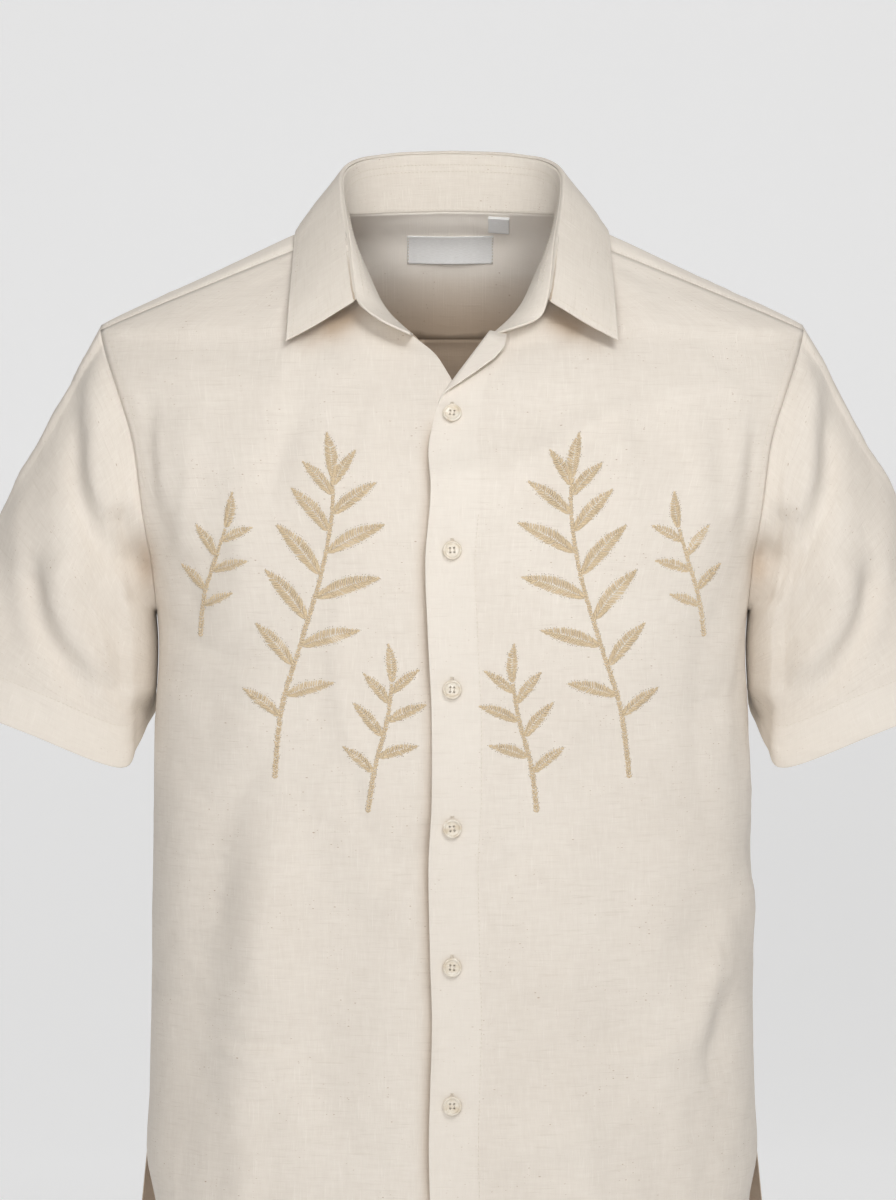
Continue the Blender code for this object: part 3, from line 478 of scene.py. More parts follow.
def surface_y(x, z, facing):
    """Depth of the body surface: facing -1 is the front, 1 the back."""
    width, front, back = section(z)
    share = np.clip(np.abs(x) / width, 0.0, 1.0)
    reach = (1 - share**ROUNDNESS) ** (1 / ROUNDNESS)
    depth = np.where(np.asarray(facing) < 0, front, back)
    return SIDE_Y + facing * depth * reach


def on_form(flat, facing):
    """Points of the body form over flat points x, z."""
    x, z = flat[..., 0], flat[..., 1]
    return np.stack([x, surface_y(x, z, facing), z], -1)


def angle_of(x, z):
    """Angle of a place across the body: 0 at the side, a quarter turn on the centre line."""
    share = np.clip(x / section(z)[0], -1.0, 1.0)
    return np.arccos(np.sign(share) * np.abs(share) ** (ROUNDNESS / 2))


def x_at(angle, z):
    """Place across the body of an angle."""
    turn = np.cos(angle)
    return section(z)[0] * np.sign(turn) * np.abs(turn) ** (2 / ROUNDNESS)


def height(x, y):
    """Level of the shoulder surface over a point of the plan, by halving."""
    low = np.full(np.shape(x), SHOULDER_LEVELS[0])
    high = np.full(np.shape(x), SHOULDER_LEVELS[1])
    facing = np.where(np.asarray(y) < SIDE_Y, -1.0, 1.0)
    for _ in range(HALVINGS):
        middle = (low + high) / 2
        width, front, back = section(middle)
        depth = np.where(facing < 0, front, back)
        value = (np.abs(x) / width) ** ROUNDNESS + (np.abs(y - SIDE_Y) / depth) ** ROUNDNESS
        inside = value < 1
        low = np.where(inside, middle, low)
        high = np.where(inside, high, middle)
    return (low + high) / 2


print("chest half width and depths", [round(float(v), 3) for v in section(-0.2)])

# %% [markdown]
# Cloth drapes in folds. A fold is a line drawn on one face with a width and a rise, and the
# points near it move out or in. A negative rise is a trough. Its strength fades to both ends.

# %% Folds drawn as lines
FOLD_SAMPLES = 24
FOLD_REACH = 3.2


def fold_lift(folds, x, z, facing):
    """Sum of the soft folds at points of one face."""
    lift = np.zeros(np.shape(x))
    for face, width, rise, line in folds:
        if face != facing:
            continue
        way = smooth_line(line, FOLD_SAMPLES)
        reach = FOLD_REACH * width
        low = way.min(0) - reach
        high = way.max(0) + reach
        near_by = (x > low[0]) & (x < high[0]) & (z > low[1]) & (z < high[1])
        if not near_by.any():
            continue
        gap = np.hypot(x[near_by][:, None] - way[:, 0], z[near_by][:, None] - way[:, 1])
        along = gap.argmin(-1) / FOLD_SAMPLES
        fade = ease(np.minimum(along, 1 - along) * 3 + 0.15)
        lift[near_by] += rise * fade * np.exp(-((gap.min(-1) / width) ** 2))
    return lift


print("large folds", len(BODY_FOLDS) + len(SLEEVE_FOLDS))

# %% [markdown]
# Neighbouring panels have to meet in one seam line. So the seam lines are made first, and each
# panel is spanned between its seams as a Coons patch, which blends four border lines into a grid.

# %% Seam lines
SEAM_SAMPLES = 200


def neck_curve(side):
    """Neck seam from the centre back to the front end, one row per station."""
    back = np.array(NECK_BACK)
    behind = np.column_stack([back, height(back[:, 0], back[:, 1])])
    curve = stations(np.vstack([behind, on_form(np.array(NECK_FRONT), -1)]))
    curve[:YOKE_NECK, 2] = height(curve[:YOKE_NECK, 0], curve[:YOKE_NECK, 1])
    curve[YOKE_NECK:, 1] = surface_y(curve[YOKE_NECK:, 0], curve[YOKE_NECK:, 2], -1)
    curve[:, 0] *= side
    return curve


def fold_curve(side):
    """Top of the collar stand, with its free end beyond the leaf."""
    rows = TAB_LEFT if side > 0 else TAB_RIGHT
    ends = [(x, surface_y(x, z, -1) - lift, z) for x, lift, z in rows]
    curve = stations(np.vstack([FOLD, ends]))
    curve[:, 0] *= side
    return curve


def armhole(table, facing, count):
    """Armhole of one face on the wearer's left, from the underarm up."""
    points = on_form(smooth_line(table, SEAM_SAMPLES), facing)
    points[0, 1] = SIDE_Y
    return resample(points, count)


FRONT_ARMHOLE = armhole(ARMHOLE_FRONT, -1, ARM_FRONT)
BACK_ARMHOLE = armhole(ARMHOLE_BACK, 1, ARM_BACK)


def yoke_end():
    """Yoke end from the front shoulder seam over the shoulder to the yoke seam."""
    plan = smooth_line(YOKE_END, ARM_YOKE)
    points = np.column_stack([plan, height(plan[:, 0], plan[:, 1])])
    points[0] = FRONT_ARMHOLE[-1]
    points[-1] = BACK_ARMHOLE[-1]
    return points


def shoulder_seam():
    """Front shoulder seam from the neck to the armhole, straight as seen from the front."""
    inner = neck_curve(1)[YOKE_NECK]
    outer = FRONT_ARMHOLE[-1]
    share = np.linspace(0, 1, SHOULDER + 1)[:, None]
    points = on_form(inner[[0, 2]] * (1 - share) + outer[[0, 2]] * share, -1)
    points[0] = inner
    points[-1] = outer
    return points


def coons(bottom, top, left, right):
    """Patch between four lines: rows run from bottom to top, columns from left to right."""
    v = np.linspace(0, 1, len(left))[:, None, None]
    u = np.linspace(0, 1, len(bottom))[None, :, None]
    ruled = (1 - v) * bottom[None] + v * top[None]
    spread = (1 - u) * left[:, None] + u * right[:, None]
    corner = (1 - v) * ((1 - u) * bottom[0] + u * bottom[-1])
    corner = corner + v * ((1 - u) * top[0] + u * top[-1])
    return ruled + spread - corner


print("neck seam stations", len(neck_curve(1)))

# %% [markdown]
# The two fronts. Their lower part runs in level rows from the hem to the armpit, and their upper
# part is a patch between the armpit row, the shoulder and neck, the centre edge and the armhole.

# %% Front and body grids
NECK_SHARE = 0.3
INSIDE_FORM = 0.9999


def open_vent(points, side, facing, angle):
    """Side vent: the front edge draws in and forward, the back edge swings out and back."""
    fall = np.clip((VENT_Z - points[..., 2]) / (VENT_Z - HEM_Z), 0, 1)
    near = np.exp(-((angle / VENT_SPREAD) ** 2)) * fall
    across, deep = VENT_FRONT if facing < 0 else VENT_BACK
    points[..., 0] += side * facing * across * near
    points[..., 1] += facing * deep * near
    return points


def body_levels(columns):
    """Levels of the rows from the hem to the armpit, for so many columns."""
    return np.repeat(BODY_LEVELS[:, None], columns, 1)


def upper_patch(bottom, top, inner, arm, facing):
    """Grid of a body panel above the armpit, spanned flat between its seams and laid on the form."""
    flat = coons(bottom, top, inner, arm[:, [0, 2]])
    flat[..., 0] = np.minimum(flat[..., 0], section(flat[..., 1])[0] * INSIDE_FORM)
    points = on_form(flat, facing)
    points[:, -1, 1] = arm[:, 1]
    return points


def displaced(points, facing, keep):
    """Body folds, pushed out from the middle of the body."""
    lift = fold_lift(BODY_FOLDS, points[..., 0], points[..., 2], facing) * keep
    away = unit(points[..., :2] - np.array([0.0, SIDE_Y]))
    points = points.copy()
    points[..., :2] += away * lift[..., None]
    return points


def front_main(side, edge):
    """Front panel from a line near the centre out to the side seam and the armhole."""
    share = np.concatenate([
        np.linspace(0, NECK_SHARE, FRONT_NECK + 1)[:-1],
        np.linspace(NECK_SHARE, 1, SHOULDER + 1),
    ])
    z = body_levels(len(share))
    angle = angle_of(np.full(z.shape, edge[0, 0]), z) * (1 - share)
    lower = on_form(np.stack([x_at(angle, z), z], -1), -1)
    lower[..., 0] *= side
    lower = open_vent(lower, side, -1, angle)
    bottom = lower[-1][:, [0, 2]] * np.array([side, 1])
    neck = neck_curve(1)[YOKE_NECK:][::-1]
    top = np.vstack([neck, shoulder_seam()[1:]])[:, [0, 2]]
    upper = upper_patch(bottom, top, resample(edge, ARM_FRONT), FRONT_ARMHOLE, -1)
    upper[-1, :FRONT_NECK + 1, 1] = neck[:, 1]
    upper[..., 0] *= side
    return np.vstack([lower, upper[1:]])


def front_fade(points):
    """Fold strength over a front: none at the side seam and above the armpit, full inside."""
    columns = np.linspace(0, 1, points.shape[1])
    return ease((1 - columns) * 8) * ease((ARMPIT_Z + 0.14 - points[..., 2]) / 0.16)


def front_right():
    """Wearer's right front: its free edge runs under the left and opens at the neck."""
    edge = np.array([
        (-UNDER_EDGE_X, ARMPIT_Z), (-UNDER_EDGE_X, -0.23), (-UNDER_EDGE_X, -0.18),
        (-0.015, -0.155), (-0.004, -0.137), (0.0045, -0.122), (0.013, -0.1098),
        (0.0266, -0.098),
    ])
    points = front_main(-1, smooth_line(edge, 80))
    return displaced(points, -1, front_fade(points))


print("right front grid", front_right().shape)

# %% [markdown]
# The left front laps over the right. Above the first button its edge is turned out as a small
# lapel: the cloth beyond a roll line is wrapped round a thin cylinder and laid back on the chest.

# %% Left front with its turned out lapel
ROLL_START = np.array([-0.01, -0.149])
ROLL_END = np.array([0.0266, -0.098])
STRIP_COLUMNS = 28
LAPEL_SPRING = 0.18
# Free edge of the lapel before it is turned: level of the roll, edge x, rise of the edge
LAPEL = (
    (-0.172, LAP_EDGE_X, 0.0), (-0.158, -0.013, 0.0), (-0.149, -0.0104, 0.0),
    (-0.139, -0.0066, 0.003), (-0.128, -0.003, 0.0059), (-0.108, 0.0047, 0.0106),
    (-0.0995, 0.0112, 0.0125), (-0.098, 0.0178, 0.0143),
)
# How far the lap's edge wanders from its straight line: level, shift
LAP_WAVER = (
    (-0.745, 0.0012), (-0.7, 0.0006), (-0.64, -0.0008), (-0.6, 0.0002), (-0.56, 0.0014),
    (-0.52, 0.0002), (-0.455, -0.001), (-0.41, 0.0012), (-0.35, 0.001), (-0.3, -0.0014),
    (-0.25, -0.003), (-0.205, 0.0004), (-0.18, -0.0012), (-0.16, 0.0),
)


def rolled(points):
    """Turns cloth beyond the roll line outward; the turned part springs off by LAPEL_SPRING."""
    across = crosswise(unit(ROLL_END - ROLL_START))
    flat = points[..., [0, 2]]
    beyond = -((flat - ROLL_START) @ across)
    past = np.clip(beyond, 0, None)
    turn = np.minimum(past / ROLL_RADIUS, math.pi)
    rest = np.clip(past - math.pi * ROLL_RADIUS, 0, None)
    shift = past - ROLL_RADIUS * np.sin(turn) + rest
    lift = ROLL_RADIUS * (1 - np.cos(turn)) + LAPEL_SPRING * rest
    moved = flat + across * shift[..., None]
    out = points.copy()
    out[..., 0] = moved[..., 0]
    out[..., 2] = moved[..., 1]
    base = surface_y(flat[..., 0], flat[..., 1], -1)
    out[..., 1] += surface_y(moved[..., 0], moved[..., 1], -1) - base - lift
    return out


def front_left():
    """Wearer's left front with its lap and the small turned out lapel."""
    line = np.array([
        (0.003, ARMPIT_Z), (0.003, -0.23), (0.002, -0.185), (-0.001, -0.156),
        (0.0019, -0.133), (0.0113, -0.1195), (0.019, -0.1086), (0.0266, -0.098),
    ])
    edge = smooth_line(line, 80)
    main = front_main(1, edge)
    seam = np.vstack([
        np.column_stack([np.full(len(BODY_LEVELS) - 1, line[0, 0]), BODY_LEVELS[:-1]]),
        resample(edge, ARM_FRONT),
    ])
    level = seam[:, 1]
    free, rise = table_at(LAPEL, level).T
    free = free + table_at(LAP_WAVER, level)[:, 0]
    outer = np.column_stack([free, level + np.maximum(rise, 0)])
    shares = np.linspace(1, 0, STRIP_COLUMNS + 1)[:-1]
    strip = [on_form(seam * (1 - share) + outer * share, -1) for share in shares]
    points = np.concatenate([np.stack(strip, 1), main], 1)
    points = displaced(points, -1, front_fade(points))
    points[..., 1] -= LAP_LIFT * (1 - ease((np.abs(points[..., 0]) - LAP_HALF) / LAP_FADE))
    points[-1, STRIP_COLUMNS:] = main[-1]
    points[:, :STRIP_COLUMNS] = rolled(points[:, :STRIP_COLUMNS])
    return points


print("left front grid", front_left().shape)

# %% [markdown]
# The back hangs from a yoke, a double shoulder piece that also covers the top. A box pleat at the
# middle gives room to move. The back grid lifts there by a fold's height and settles lower down.

# %% Back and yoke


def back_columns():
    """Places of the back columns on the yoke seam, from the centre out."""
    inner = (0.0, PLEAT_HALF, PLEAT_HALF + PLEAT_STEP, 0.042, 0.062, 0.08, 0.097, 0.113)
    fine = np.interp(np.arange(YOKE_NECK + 1) / FINE, np.arange(len(inner)), inner)
    outer = np.linspace(inner[-1], BACK_ARMHOLE[-1, 0], SHOULDER + 1)[1:]
    return np.concatenate([fine, outer])


def yoke_seam():
    """Yoke seam at the back, centre to armhole, dropping a little to the armhole."""
    x = back_columns()
    end = BACK_ARMHOLE[-1]
    z = YOKE_SEAM_Z + (end[2] - YOKE_SEAM_Z) * (x / end[0]) ** 2
    points = on_form(np.stack([x, z], -1), 1)
    points[-1] = end
    return points


def yoke_half():
    """Yoke from the back seam over the shoulder: rows back to front, columns centre out."""
    back = yoke_seam()
    neck = neck_curve(1)[:YOKE_NECK + 1]
    front = np.vstack([neck, shoulder_seam()[1:]])
    ends = yoke_end()[::-1]
    centre = np.column_stack([
        np.zeros(ARM_YOKE + 1),
        np.linspace(back[0, 1], neck[0, 1], ARM_YOKE + 1),
    ])
    plan = coons(back[:, :2], front[:, :2], centre, ends[:, :2])
    z = height(plan[..., 0], plan[..., 1])
    points = np.concatenate([plan, z[..., None]], -1)
    points[0] = back
    points[-1] = front
    points[:, -1] = ends
    return points


def mirrored(half):
    """A whole grid from the half on the wearer's left, centre column shared."""
    other = half[:, :0:-1].copy()
    other[..., 0] *= -1
    return np.concatenate([other, half], 1)


def back_half():
    """Back panel half: rows hem to yoke seam, columns centre out."""
    seam = yoke_seam()
    steps = np.arange(len(seam)) / (len(seam) - 1)
    place = seam[:, 0] / seam[-1, 0]
    lower_share = 0.35 * place + 0.65 * (0.55 * place + 0.45 * steps)
    z = body_levels(len(seam))
    angle = (math.pi / 2) * (1 - lower_share) * np.ones(z.shape)
    x = x_at(angle, z)
    pleat = 2 * FINE + 1
    shift = seam[:pleat, 0] - x[:, :pleat]
    x[:, :pleat] = seam[:pleat, 0]
    fade = np.linspace(1, 0, 3 * FINE + 1)[1:]
    x[:, pleat:pleat + len(fade)] += shift[:, -1:] * fade
    lower = open_vent(on_form(np.stack([x, z], -1), 1), 1, 1, angle)
    centre = np.column_stack([
        np.zeros(ARM_BACK + 1), np.linspace(ARMPIT_Z, seam[0, 2], ARM_BACK + 1)
    ])
    upper = upper_patch(lower[-1][:, [0, 2]], seam[:, [0, 2]], centre, BACK_ARMHOLE, 1)
    upper[-1] = seam
    return np.vstack([lower, upper[1:]])


def back_grid():
    """The whole back with its folds and the box pleat under the yoke."""
    points = mirrored(back_half())
    columns = np.abs(np.linspace(-1, 1, points.shape[1]))
    high = ease((YOKE_SEAM_Z - 0.03 - points[..., 2]) / 0.12)
    points = displaced(points, 1, ease((1 - columns) * 8) * high)
    level = points[..., 2]
    box = ease((PLEAT_HALF + PLEAT_STEP - np.abs(points[..., 0])) / PLEAT_STEP)
    settled = ease((level + 0.5) / 0.3)
    points[..., 1] += PLEAT_LIFT * settled * box * ease((YOKE_SEAM_Z - level) / 0.006)
    return points


print("back grid", back_grid().shape)

# %% [markdown]
# A sleeve is a tube. Each of its lines starts on the armhole, leaves it in the direction in which
# the sleeve is set in, and ends on the hem ring: a cubic curve does that from four points.

# %% Sleeves
SLEEVE_PULL = 0.33


def sleeve_grid(side):
    """Sleeve: rows from the armhole to the hem, columns round the arm from the underarm."""
    front = FRONT_ARMHOLE
    loop = np.vstack([front, yoke_end()[1:], BACK_ARMHOLE[::-1][1:-1]])
    run = run_of(np.vstack([loop, loop[:1]]))
    crown = len(front) + 1
    share = np.where(
        run < run[crown], 0.5 * run / run[crown],
        0.5 + 0.5 * (run - run[crown]) / (run[-1] - run[crown]),
    )[:-1]
    ring = np.array(SLEEVE_HEM)
    steps = np.linspace(0, len(ring) - 1, 201)
    dense = spline(np.vstack([ring[-2], ring, ring[1]]), 1 + steps)
    dense[:, 0] = np.interp(steps, np.arange(len(ring)), ring[:, 0])
    hem = between(share, dense[:, 0], dense[:, 1:])
    # Each line leaves the armhole outward and down, turning with its place round the arm, and
    # meets the hem almost straight down
    lean = np.sin(2 * math.pi * share)
    over_arm = 0.5 - 0.5 * np.cos(2 * math.pi * share)
    start = np.stack([0.92 - 0.44 * over_arm, -0.16 * lean, -0.5 - 0.36 * over_arm], 1)
    finish = np.stack([0.1 + 0.36 * over_arm, np.zeros(len(share)), np.full(len(share), -0.9)], 1)
    start, finish = unit(start), unit(finish)
    length = np.linalg.norm(hem - loop, axis=1)[:, None]
    v = np.linspace(0, 1, SLEEVE_ROWS + 1)[:, None, None]
    p1 = loop + start * length * SLEEVE_PULL
    p2 = hem - finish * length * SLEEVE_PULL
    points = (1 - v) ** 3 * loop + 3 * v * (1 - v) ** 2 * p1
    points = points + 3 * v**2 * (1 - v) * p2 + v**3 * hem
    middle = points.mean(1, keepdims=True)
    away = unit(points - middle)
    front_lift = fold_lift(SLEEVE_FOLDS, points[..., 0], points[..., 2], -1)
    back_lift = fold_lift(SLEEVE_FOLDS, points[..., 0], points[..., 2], 1)
    blend = ease((points[..., 1] - middle[..., 1] + 0.03) / 0.06)
    lift = (front_lift * (1 - blend) + back_lift * blend) * ease(v[..., 0] * 5)
    points = points + away * lift[..., None]
    points[..., 0] *= side
    return points


print("sleeve grid", sleeve_grid(1).shape)

# %% [markdown]
# A shirt collar has a stand, which rises from the neck seam, and a leaf, which rolls over the
# stand's top and falls to its points. Both are ruled from the neck line, station by station.

# %% Collar stand and leaf
STAND_BEND = 0.3
STAND_BOW = 0.28
# The leaf's first rows roll over the fold: distance up and away from it. Its fall is bowed
LEAF_ROLL = ((0.0, 0.0003), (0.0016, 0.0012), (0.0006, 0.003))
LEAF_FALL = (0.48, 0.76, 1.0)
LEAF_BOW = 0.0022
OFF_CHEST = 0.0035
OFF_SHOULDER = 0.004


def stand_half(side):
    """Half of the stand: rows from the neck seam to the fold, bowed forward at the front."""
    neck = neck_curve(side)
    fold = fold_curve(side)
    rise = fold - neck
    reach = np.linalg.norm(rise, axis=1, keepdims=True)
    forward = np.array([0.0, -1.0, 0.0]) * ease((-neck[:, 2:] - 0.015) / 0.03)
    bend = neck + rise * STAND_BEND + forward * reach * STAND_BOW
    v = np.linspace(0, 1, STAND_ROWS + 1)[:, None, None]
    return neck * (1 - v) ** 2 + 2 * bend * v * (1 - v) + fold * v**2


def stand_grid():
    """Collar stand from the neck seam to the fold, wearer's right end to left end."""
    right = stand_half(-1)[:, ::-1]
    left = stand_half(1)
    points = np.concatenate([right, left[:, 1:]], 1)
    points[-1] += (points[-2] - points[-1]) * 0.08
    return points


def leaf_half(side):
    """Leaf of the collar: rolls over the fold and falls to its free edge."""
    fold = np.array(FOLD)
    edge = np.array(LEAF_EDGE)
    front = edge[:, 1] < -0.07
    edge[front, 1] = surface_y(edge[front, 0], edge[front, 2], -1) - OFF_CHEST
    over = ~front & (np.arange(len(edge)) > 3)
    edge[over, 2] = height(edge[over, 0], edge[over, 1]) + OFF_SHOULDER
    neck = neck_curve(1)[:LEAF_STEPS + 1:FINE]
    up = unit(fold - neck)
    fall = edge - fold
    away = unit(fall - up * (fall * up).sum(1, keepdims=True))
    rows = [fold + up * high + away * out for high, out in LEAF_ROLL]
    rolled_over = rows[-1]
    rows.append(rolled_over + (edge - rolled_over) * 0.22 + away * 0.001)
    for share in LEAF_FALL:
        bow = LEAF_BOW * math.sin(math.pi * share)
        rows.append(rolled_over + (edge - rolled_over) * share + away * bow)
    coarse = np.stack(rows)
    fine = np.stack([stations(row) for row in coarse])
    down = np.concatenate([
        np.linspace(0, 2, 11)[:-1], np.linspace(2, 3, 6)[:-1], np.linspace(3, 6, 19),
    ])
    flat = fine.reshape(len(coarse), -1)
    points = spline(flat, down).reshape(len(down), -1, 3)
    points[..., 0] *= side
    return points


def leaf_grid():
    """Collar leaf from the fold to its free edge, wearer's right point to left point."""
    return np.concatenate([leaf_half(-1)[:, ::-1], leaf_half(1)[:, 1:]], 1)


print("leaf grid", leaf_grid().shape)

# %% [markdown]
# Cloth is thin but not flat, so each piece is a closed shell: its grid is pushed out and in by half
# the cloth's thickness, and the border is closed. At a free edge a row is added close to the rim
# and the rim is drawn thinner, which rounds it as a folded edge is round.

# %% Cloth shells
CLOTH = 0.0007
DOUBLE_CLOTH = 0.0013
COLLAR_CLOTH = 0.0017
RIM = 0.0005
RIM_SHARE = 0.35
BAND_STEP = 0.0012
# Level and height of two changes painted on the inner face near the neck: painted shade darkens it from
# the first level down, and painted light, standing for the low lamp's, begins at the second level and
# grows upward
NECK_DIM = (-0.024, 0.06)
NECK_GLOW = (-0.05, 0.03)
NECK_LIGHT = 0.9
# Columns of the working array of a shell, after its points and flat coordinates
INNER, OUTER, DIM, LAYER, PAINTED_SHADE = range(5, 10)


def form_normals(points):
    """Unit normals of a grid from the faces round each point."""
    faces = np.cross(points[1:, 1:] - points[:-1, :-1], points[1:, :-1] - points[:-1, 1:])
    normal = np.zeros(points.shape)
    normal[:-1, :-1] += faces
    normal[1:, :-1] += faces
    normal[:-1, 1:] += faces
    normal[1:, 1:] += faces
    return unit(normal)


def toward(array, border):
    """The grid turned so that the named border is its first row."""
    if border in ("first", "last"):
        array = array.swapaxes(0, 1)
    if border in ("high", "last"):
        array = array[::-1]
    return array


def back_from(array, border):
    """The turned grid put back."""
    if border in ("high", "last"):
        array = array[::-1]
    if border in ("first", "last"):
        array = array.swapaxes(0, 1)
    return array


class Panel:
    """A cloth piece as a grid of middle points, with the flat cloth's own coordinates."""

    def __init__(self, name, points, centre, wrap=False, thick=CLOTH, free=(), flat=None, dim=1.0):
        self.name = name
        self.wrap = wrap
        self.free = free
        self.points = np.asarray(points, float)
        self.centre = np.asarray(centre, float)
        shape = self.points.shape[:2]
        self.dim = np.full(shape, dim)
        self.layer = np.zeros(shape)
        # Painted shade on the outer face: shadow in the armpit dent, under the collar leaf and beside
        # the lap
        self.painted_shade = np.zeros(shape)
        self.inner = np.full(shape, thick / 2)
        self.outer = np.full(shape, thick / 2)
        self.flat = self.measured() if flat is None else flat

    def measured(self):
        """Lengths along the middle row and down the middle column, as flat coordinates."""
        across = run_of(self.points[len(self.points) // 2])
        along = run_of(self.points[:, self.points.shape[1] // 2])
        return np.stack(np.broadcast_arrays(across[None], along[:, None]), -1)

    def normals(self, points=None):
        """Unit normals that point away from the middle of the piece."""
        points = self.points if points is None else points
        if self.wrap:
            closed = np.concatenate([points[:, -1:], points, points[:, :1]], 1)
            normal = form_normals(closed)[:, 1:-1]
        else:
            normal = form_normals(points)
        return -normal if ((points - self.centre) * normal).sum() < 0 else normal

    def push_out(self, lift):
        """Moves the points along the normals."""
        self.points = self.points + self.normals() * lift[..., None]

    def surface(self, inside=False):
        """Points and normals of the outer or the inner face."""
        normal = -self.normals() if inside else self.normals()
        thick = self.inner if inside else self.outer
        return self.points + normal * thick[..., None], normal

    def line(self, border, distance, start=0.0, end=1.0, inside=False):
        """Points and normals of one face on a line that runs inside a border at a distance."""
        face, normal = (toward(array, border) for array in self.surface(inside))
        run = run_of(face)
        upper = np.clip((run < distance).sum(0), 1, len(run) - 1)
        columns = np.arange(run.shape[1])
        span = run[upper, columns] - run[upper - 1, columns]
        share = ((distance - run[upper - 1, columns]) / span)[:, None]
        points = face[upper - 1, columns] * (1 - share) + face[upper, columns] * share
        count = len(points)
        part = slice(int(start * count), max(int(end * count), 2))
        return points[part], normal[upper, columns][part]

    def band(self, border, width, thick):
        """Makes the cloth thicker inside in a band along a border, as a hem or facing does."""
        run = run_of(toward(self.points, border))
        inside = back_from(1 - ease((run - width) / BAND_STEP + 0.5), border)
        self.inner = self.inner * (1 - inside) + thick * inside
        self.layer = np.maximum(self.layer, inside)

    def rimmed(self):
        """All values of the grid in one array, with a thinner rim along each free edge."""
        data = np.concatenate([
            self.points, self.flat, self.inner[..., None], self.outer[..., None],
            self.dim[..., None], self.layer[..., None], self.painted_shade[..., None],
        ], -1)
        for border in self.free:
            turned = toward(data, border)
            step = np.linalg.norm(turned[1, :, :3] - turned[0, :, :3], axis=-1)
            share = np.minimum(RIM / np.maximum(step, 1e-6), 0.5)[:, None]
            extra = turned[0] * (1 - share) + turned[1] * share
            data = back_from(np.concatenate([turned[:1], extra[None], turned[1:]]), border)
        for border in self.free:
            rim = toward(data, border)
            rim[0, :, INNER:OUTER + 1] = rim[1, :, INNER:OUTER + 1] * RIM_SHARE
        return data

    def build(self, material):
        """The closed shell as an object, with the values that its finish reads."""
        data = self.rimmed()
        points = data[..., :3]
        normal = self.normals(points)
        outside = points + normal * data[..., OUTER, None]
        inside = points - normal * data[..., INNER, None]
        verts = np.concatenate([outside.reshape(-1, 3), inside.reshape(-1, 3)])
        rows, columns = points.shape[:2]
        quads = shell_faces(rows, columns, self.wrap)
        one = quads[len(quads) // 4]
        face_normal = np.cross(verts[one[1]] - verts[one[0]], verts[one[2]] - verts[one[0]])
        if face_normal @ normal.reshape(-1, 3)[one[0] % (rows * columns)] < 0:
            quads = quads[:, ::-1]
        cloth = np.zeros((2, rows * columns, 3))
        cloth[..., :2] = data[..., 3:5].reshape(-1, 2)
        cloth[1, :, 2] = 1
        level = points[..., 2].ravel()
        # Painted shade on the inner face below the neck, less the painted light just under the collar
        glow = NECK_LIGHT * ease((level - NECK_GLOW[0]) / NECK_GLOW[1])
        dim = data[..., DIM].ravel() * (ease((NECK_DIM[0] - level) / NECK_DIM[1]) - glow)
        piece = grid_object(self.name, verts, quads, material)
        for name, kind, field, values in (
            ("cloth", "FLOAT_VECTOR", "vector", cloth.ravel()),
            ("shade", "FLOAT", "value", np.concatenate([data[..., PAINTED_SHADE].ravel(), dim])),
            ("layer", "FLOAT", "value", np.tile(data[..., LAYER].ravel(), 2)),
        ):
            piece.data.attributes.new(name, kind, "POINT").data.foreach_set(field, values)
        print(self.name, "grid", rows, "x", columns, "triangles", 2 * len(quads))
        return piece


def shell_faces(rows, columns, wrap):
    """Quads of a closed shell: the outer grid, the inner grid after it, and the walls between."""
    inner = rows * columns
    index = np.arange(inner).reshape(rows, columns)
    if wrap:
        index = np.concatenate([index, index[:, :1]], 1)

    def quads(*corners):
        return np.stack(corners, -1).reshape(-1, 4)

    outside = quads(index[:-1, :-1], index[:-1, 1:], index[1:, 1:], index[1:, :-1])
    low, high = index[0], index[-1]
    first, last = index[:, 0], index[:, -1]
    faces = [
        outside,
        outside[:, ::-1] + inner,
        quads(inner + low[:-1], inner + low[1:], low[1:], low[:-1]),
        quads(high[:-1], high[1:], inner + high[1:], inner + high[:-1]),
    ]
    if not wrap:
        faces.append(quads(inner + first[:-1], first[:-1], first[1:], inner + first[1:]))
        faces.append(quads(last[:-1], inner + last[:-1], inner + last[1:], last[1:]))
    return np.concatenate(faces)


def grid_object(name, verts, faces, material):
    """An object from arrays of points and of faces that all have the same number of corners."""
    faces = np.asarray(faces)
    mesh = bpy.data.meshes.new(name)
    mesh.vertices.add(len(verts))
    mesh.vertices.foreach_set("co", np.asarray(verts, float).ravel())
    mesh.loops.add(faces.size)
    mesh.loops.foreach_set("vertex_index", faces.ravel().astype(np.int32))
    mesh.polygons.add(len(faces))
    mesh.polygons.foreach_set("loop_start", np.arange(0, faces.size, faces.shape[1], dtype=np.int32))
    mesh.update(calc_edges=True)
    mesh.validate()
    return in_scene(name, mesh, material)


def wear(piece, slot, *nodes):
    """The piece rides with the shirt and may stand for solids of the frame, which it hides. The slot is
    not used.
    """
    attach(piece, "root")
    if nodes:
        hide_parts(*nodes)
    return piece


# %% [markdown]
# Linen is woven from uneven flax threads. Up close it is a cross hatch of lighter and darker
# threads with thick places, called slubs, and small brown flecks of husk. All of these follow the
# threads, so the shader reads the flat cloth's coordinates that every panel stored, in metres, and
# stretches noise along one thread direction or the other.

# %% Linen
# Painted shade: deep inside, where the lamps hardly reach, the cloth's colour is multiplied by this
# darker, warmer colour; painted light: just under the collar, where the low lamp reaches, the cloth
# takes the second colour
INNER_SHADE = (0.64, 0.545, 0.455)
NECK_PAINTED_LIGHT = (1.0, 0.94, 0.86)


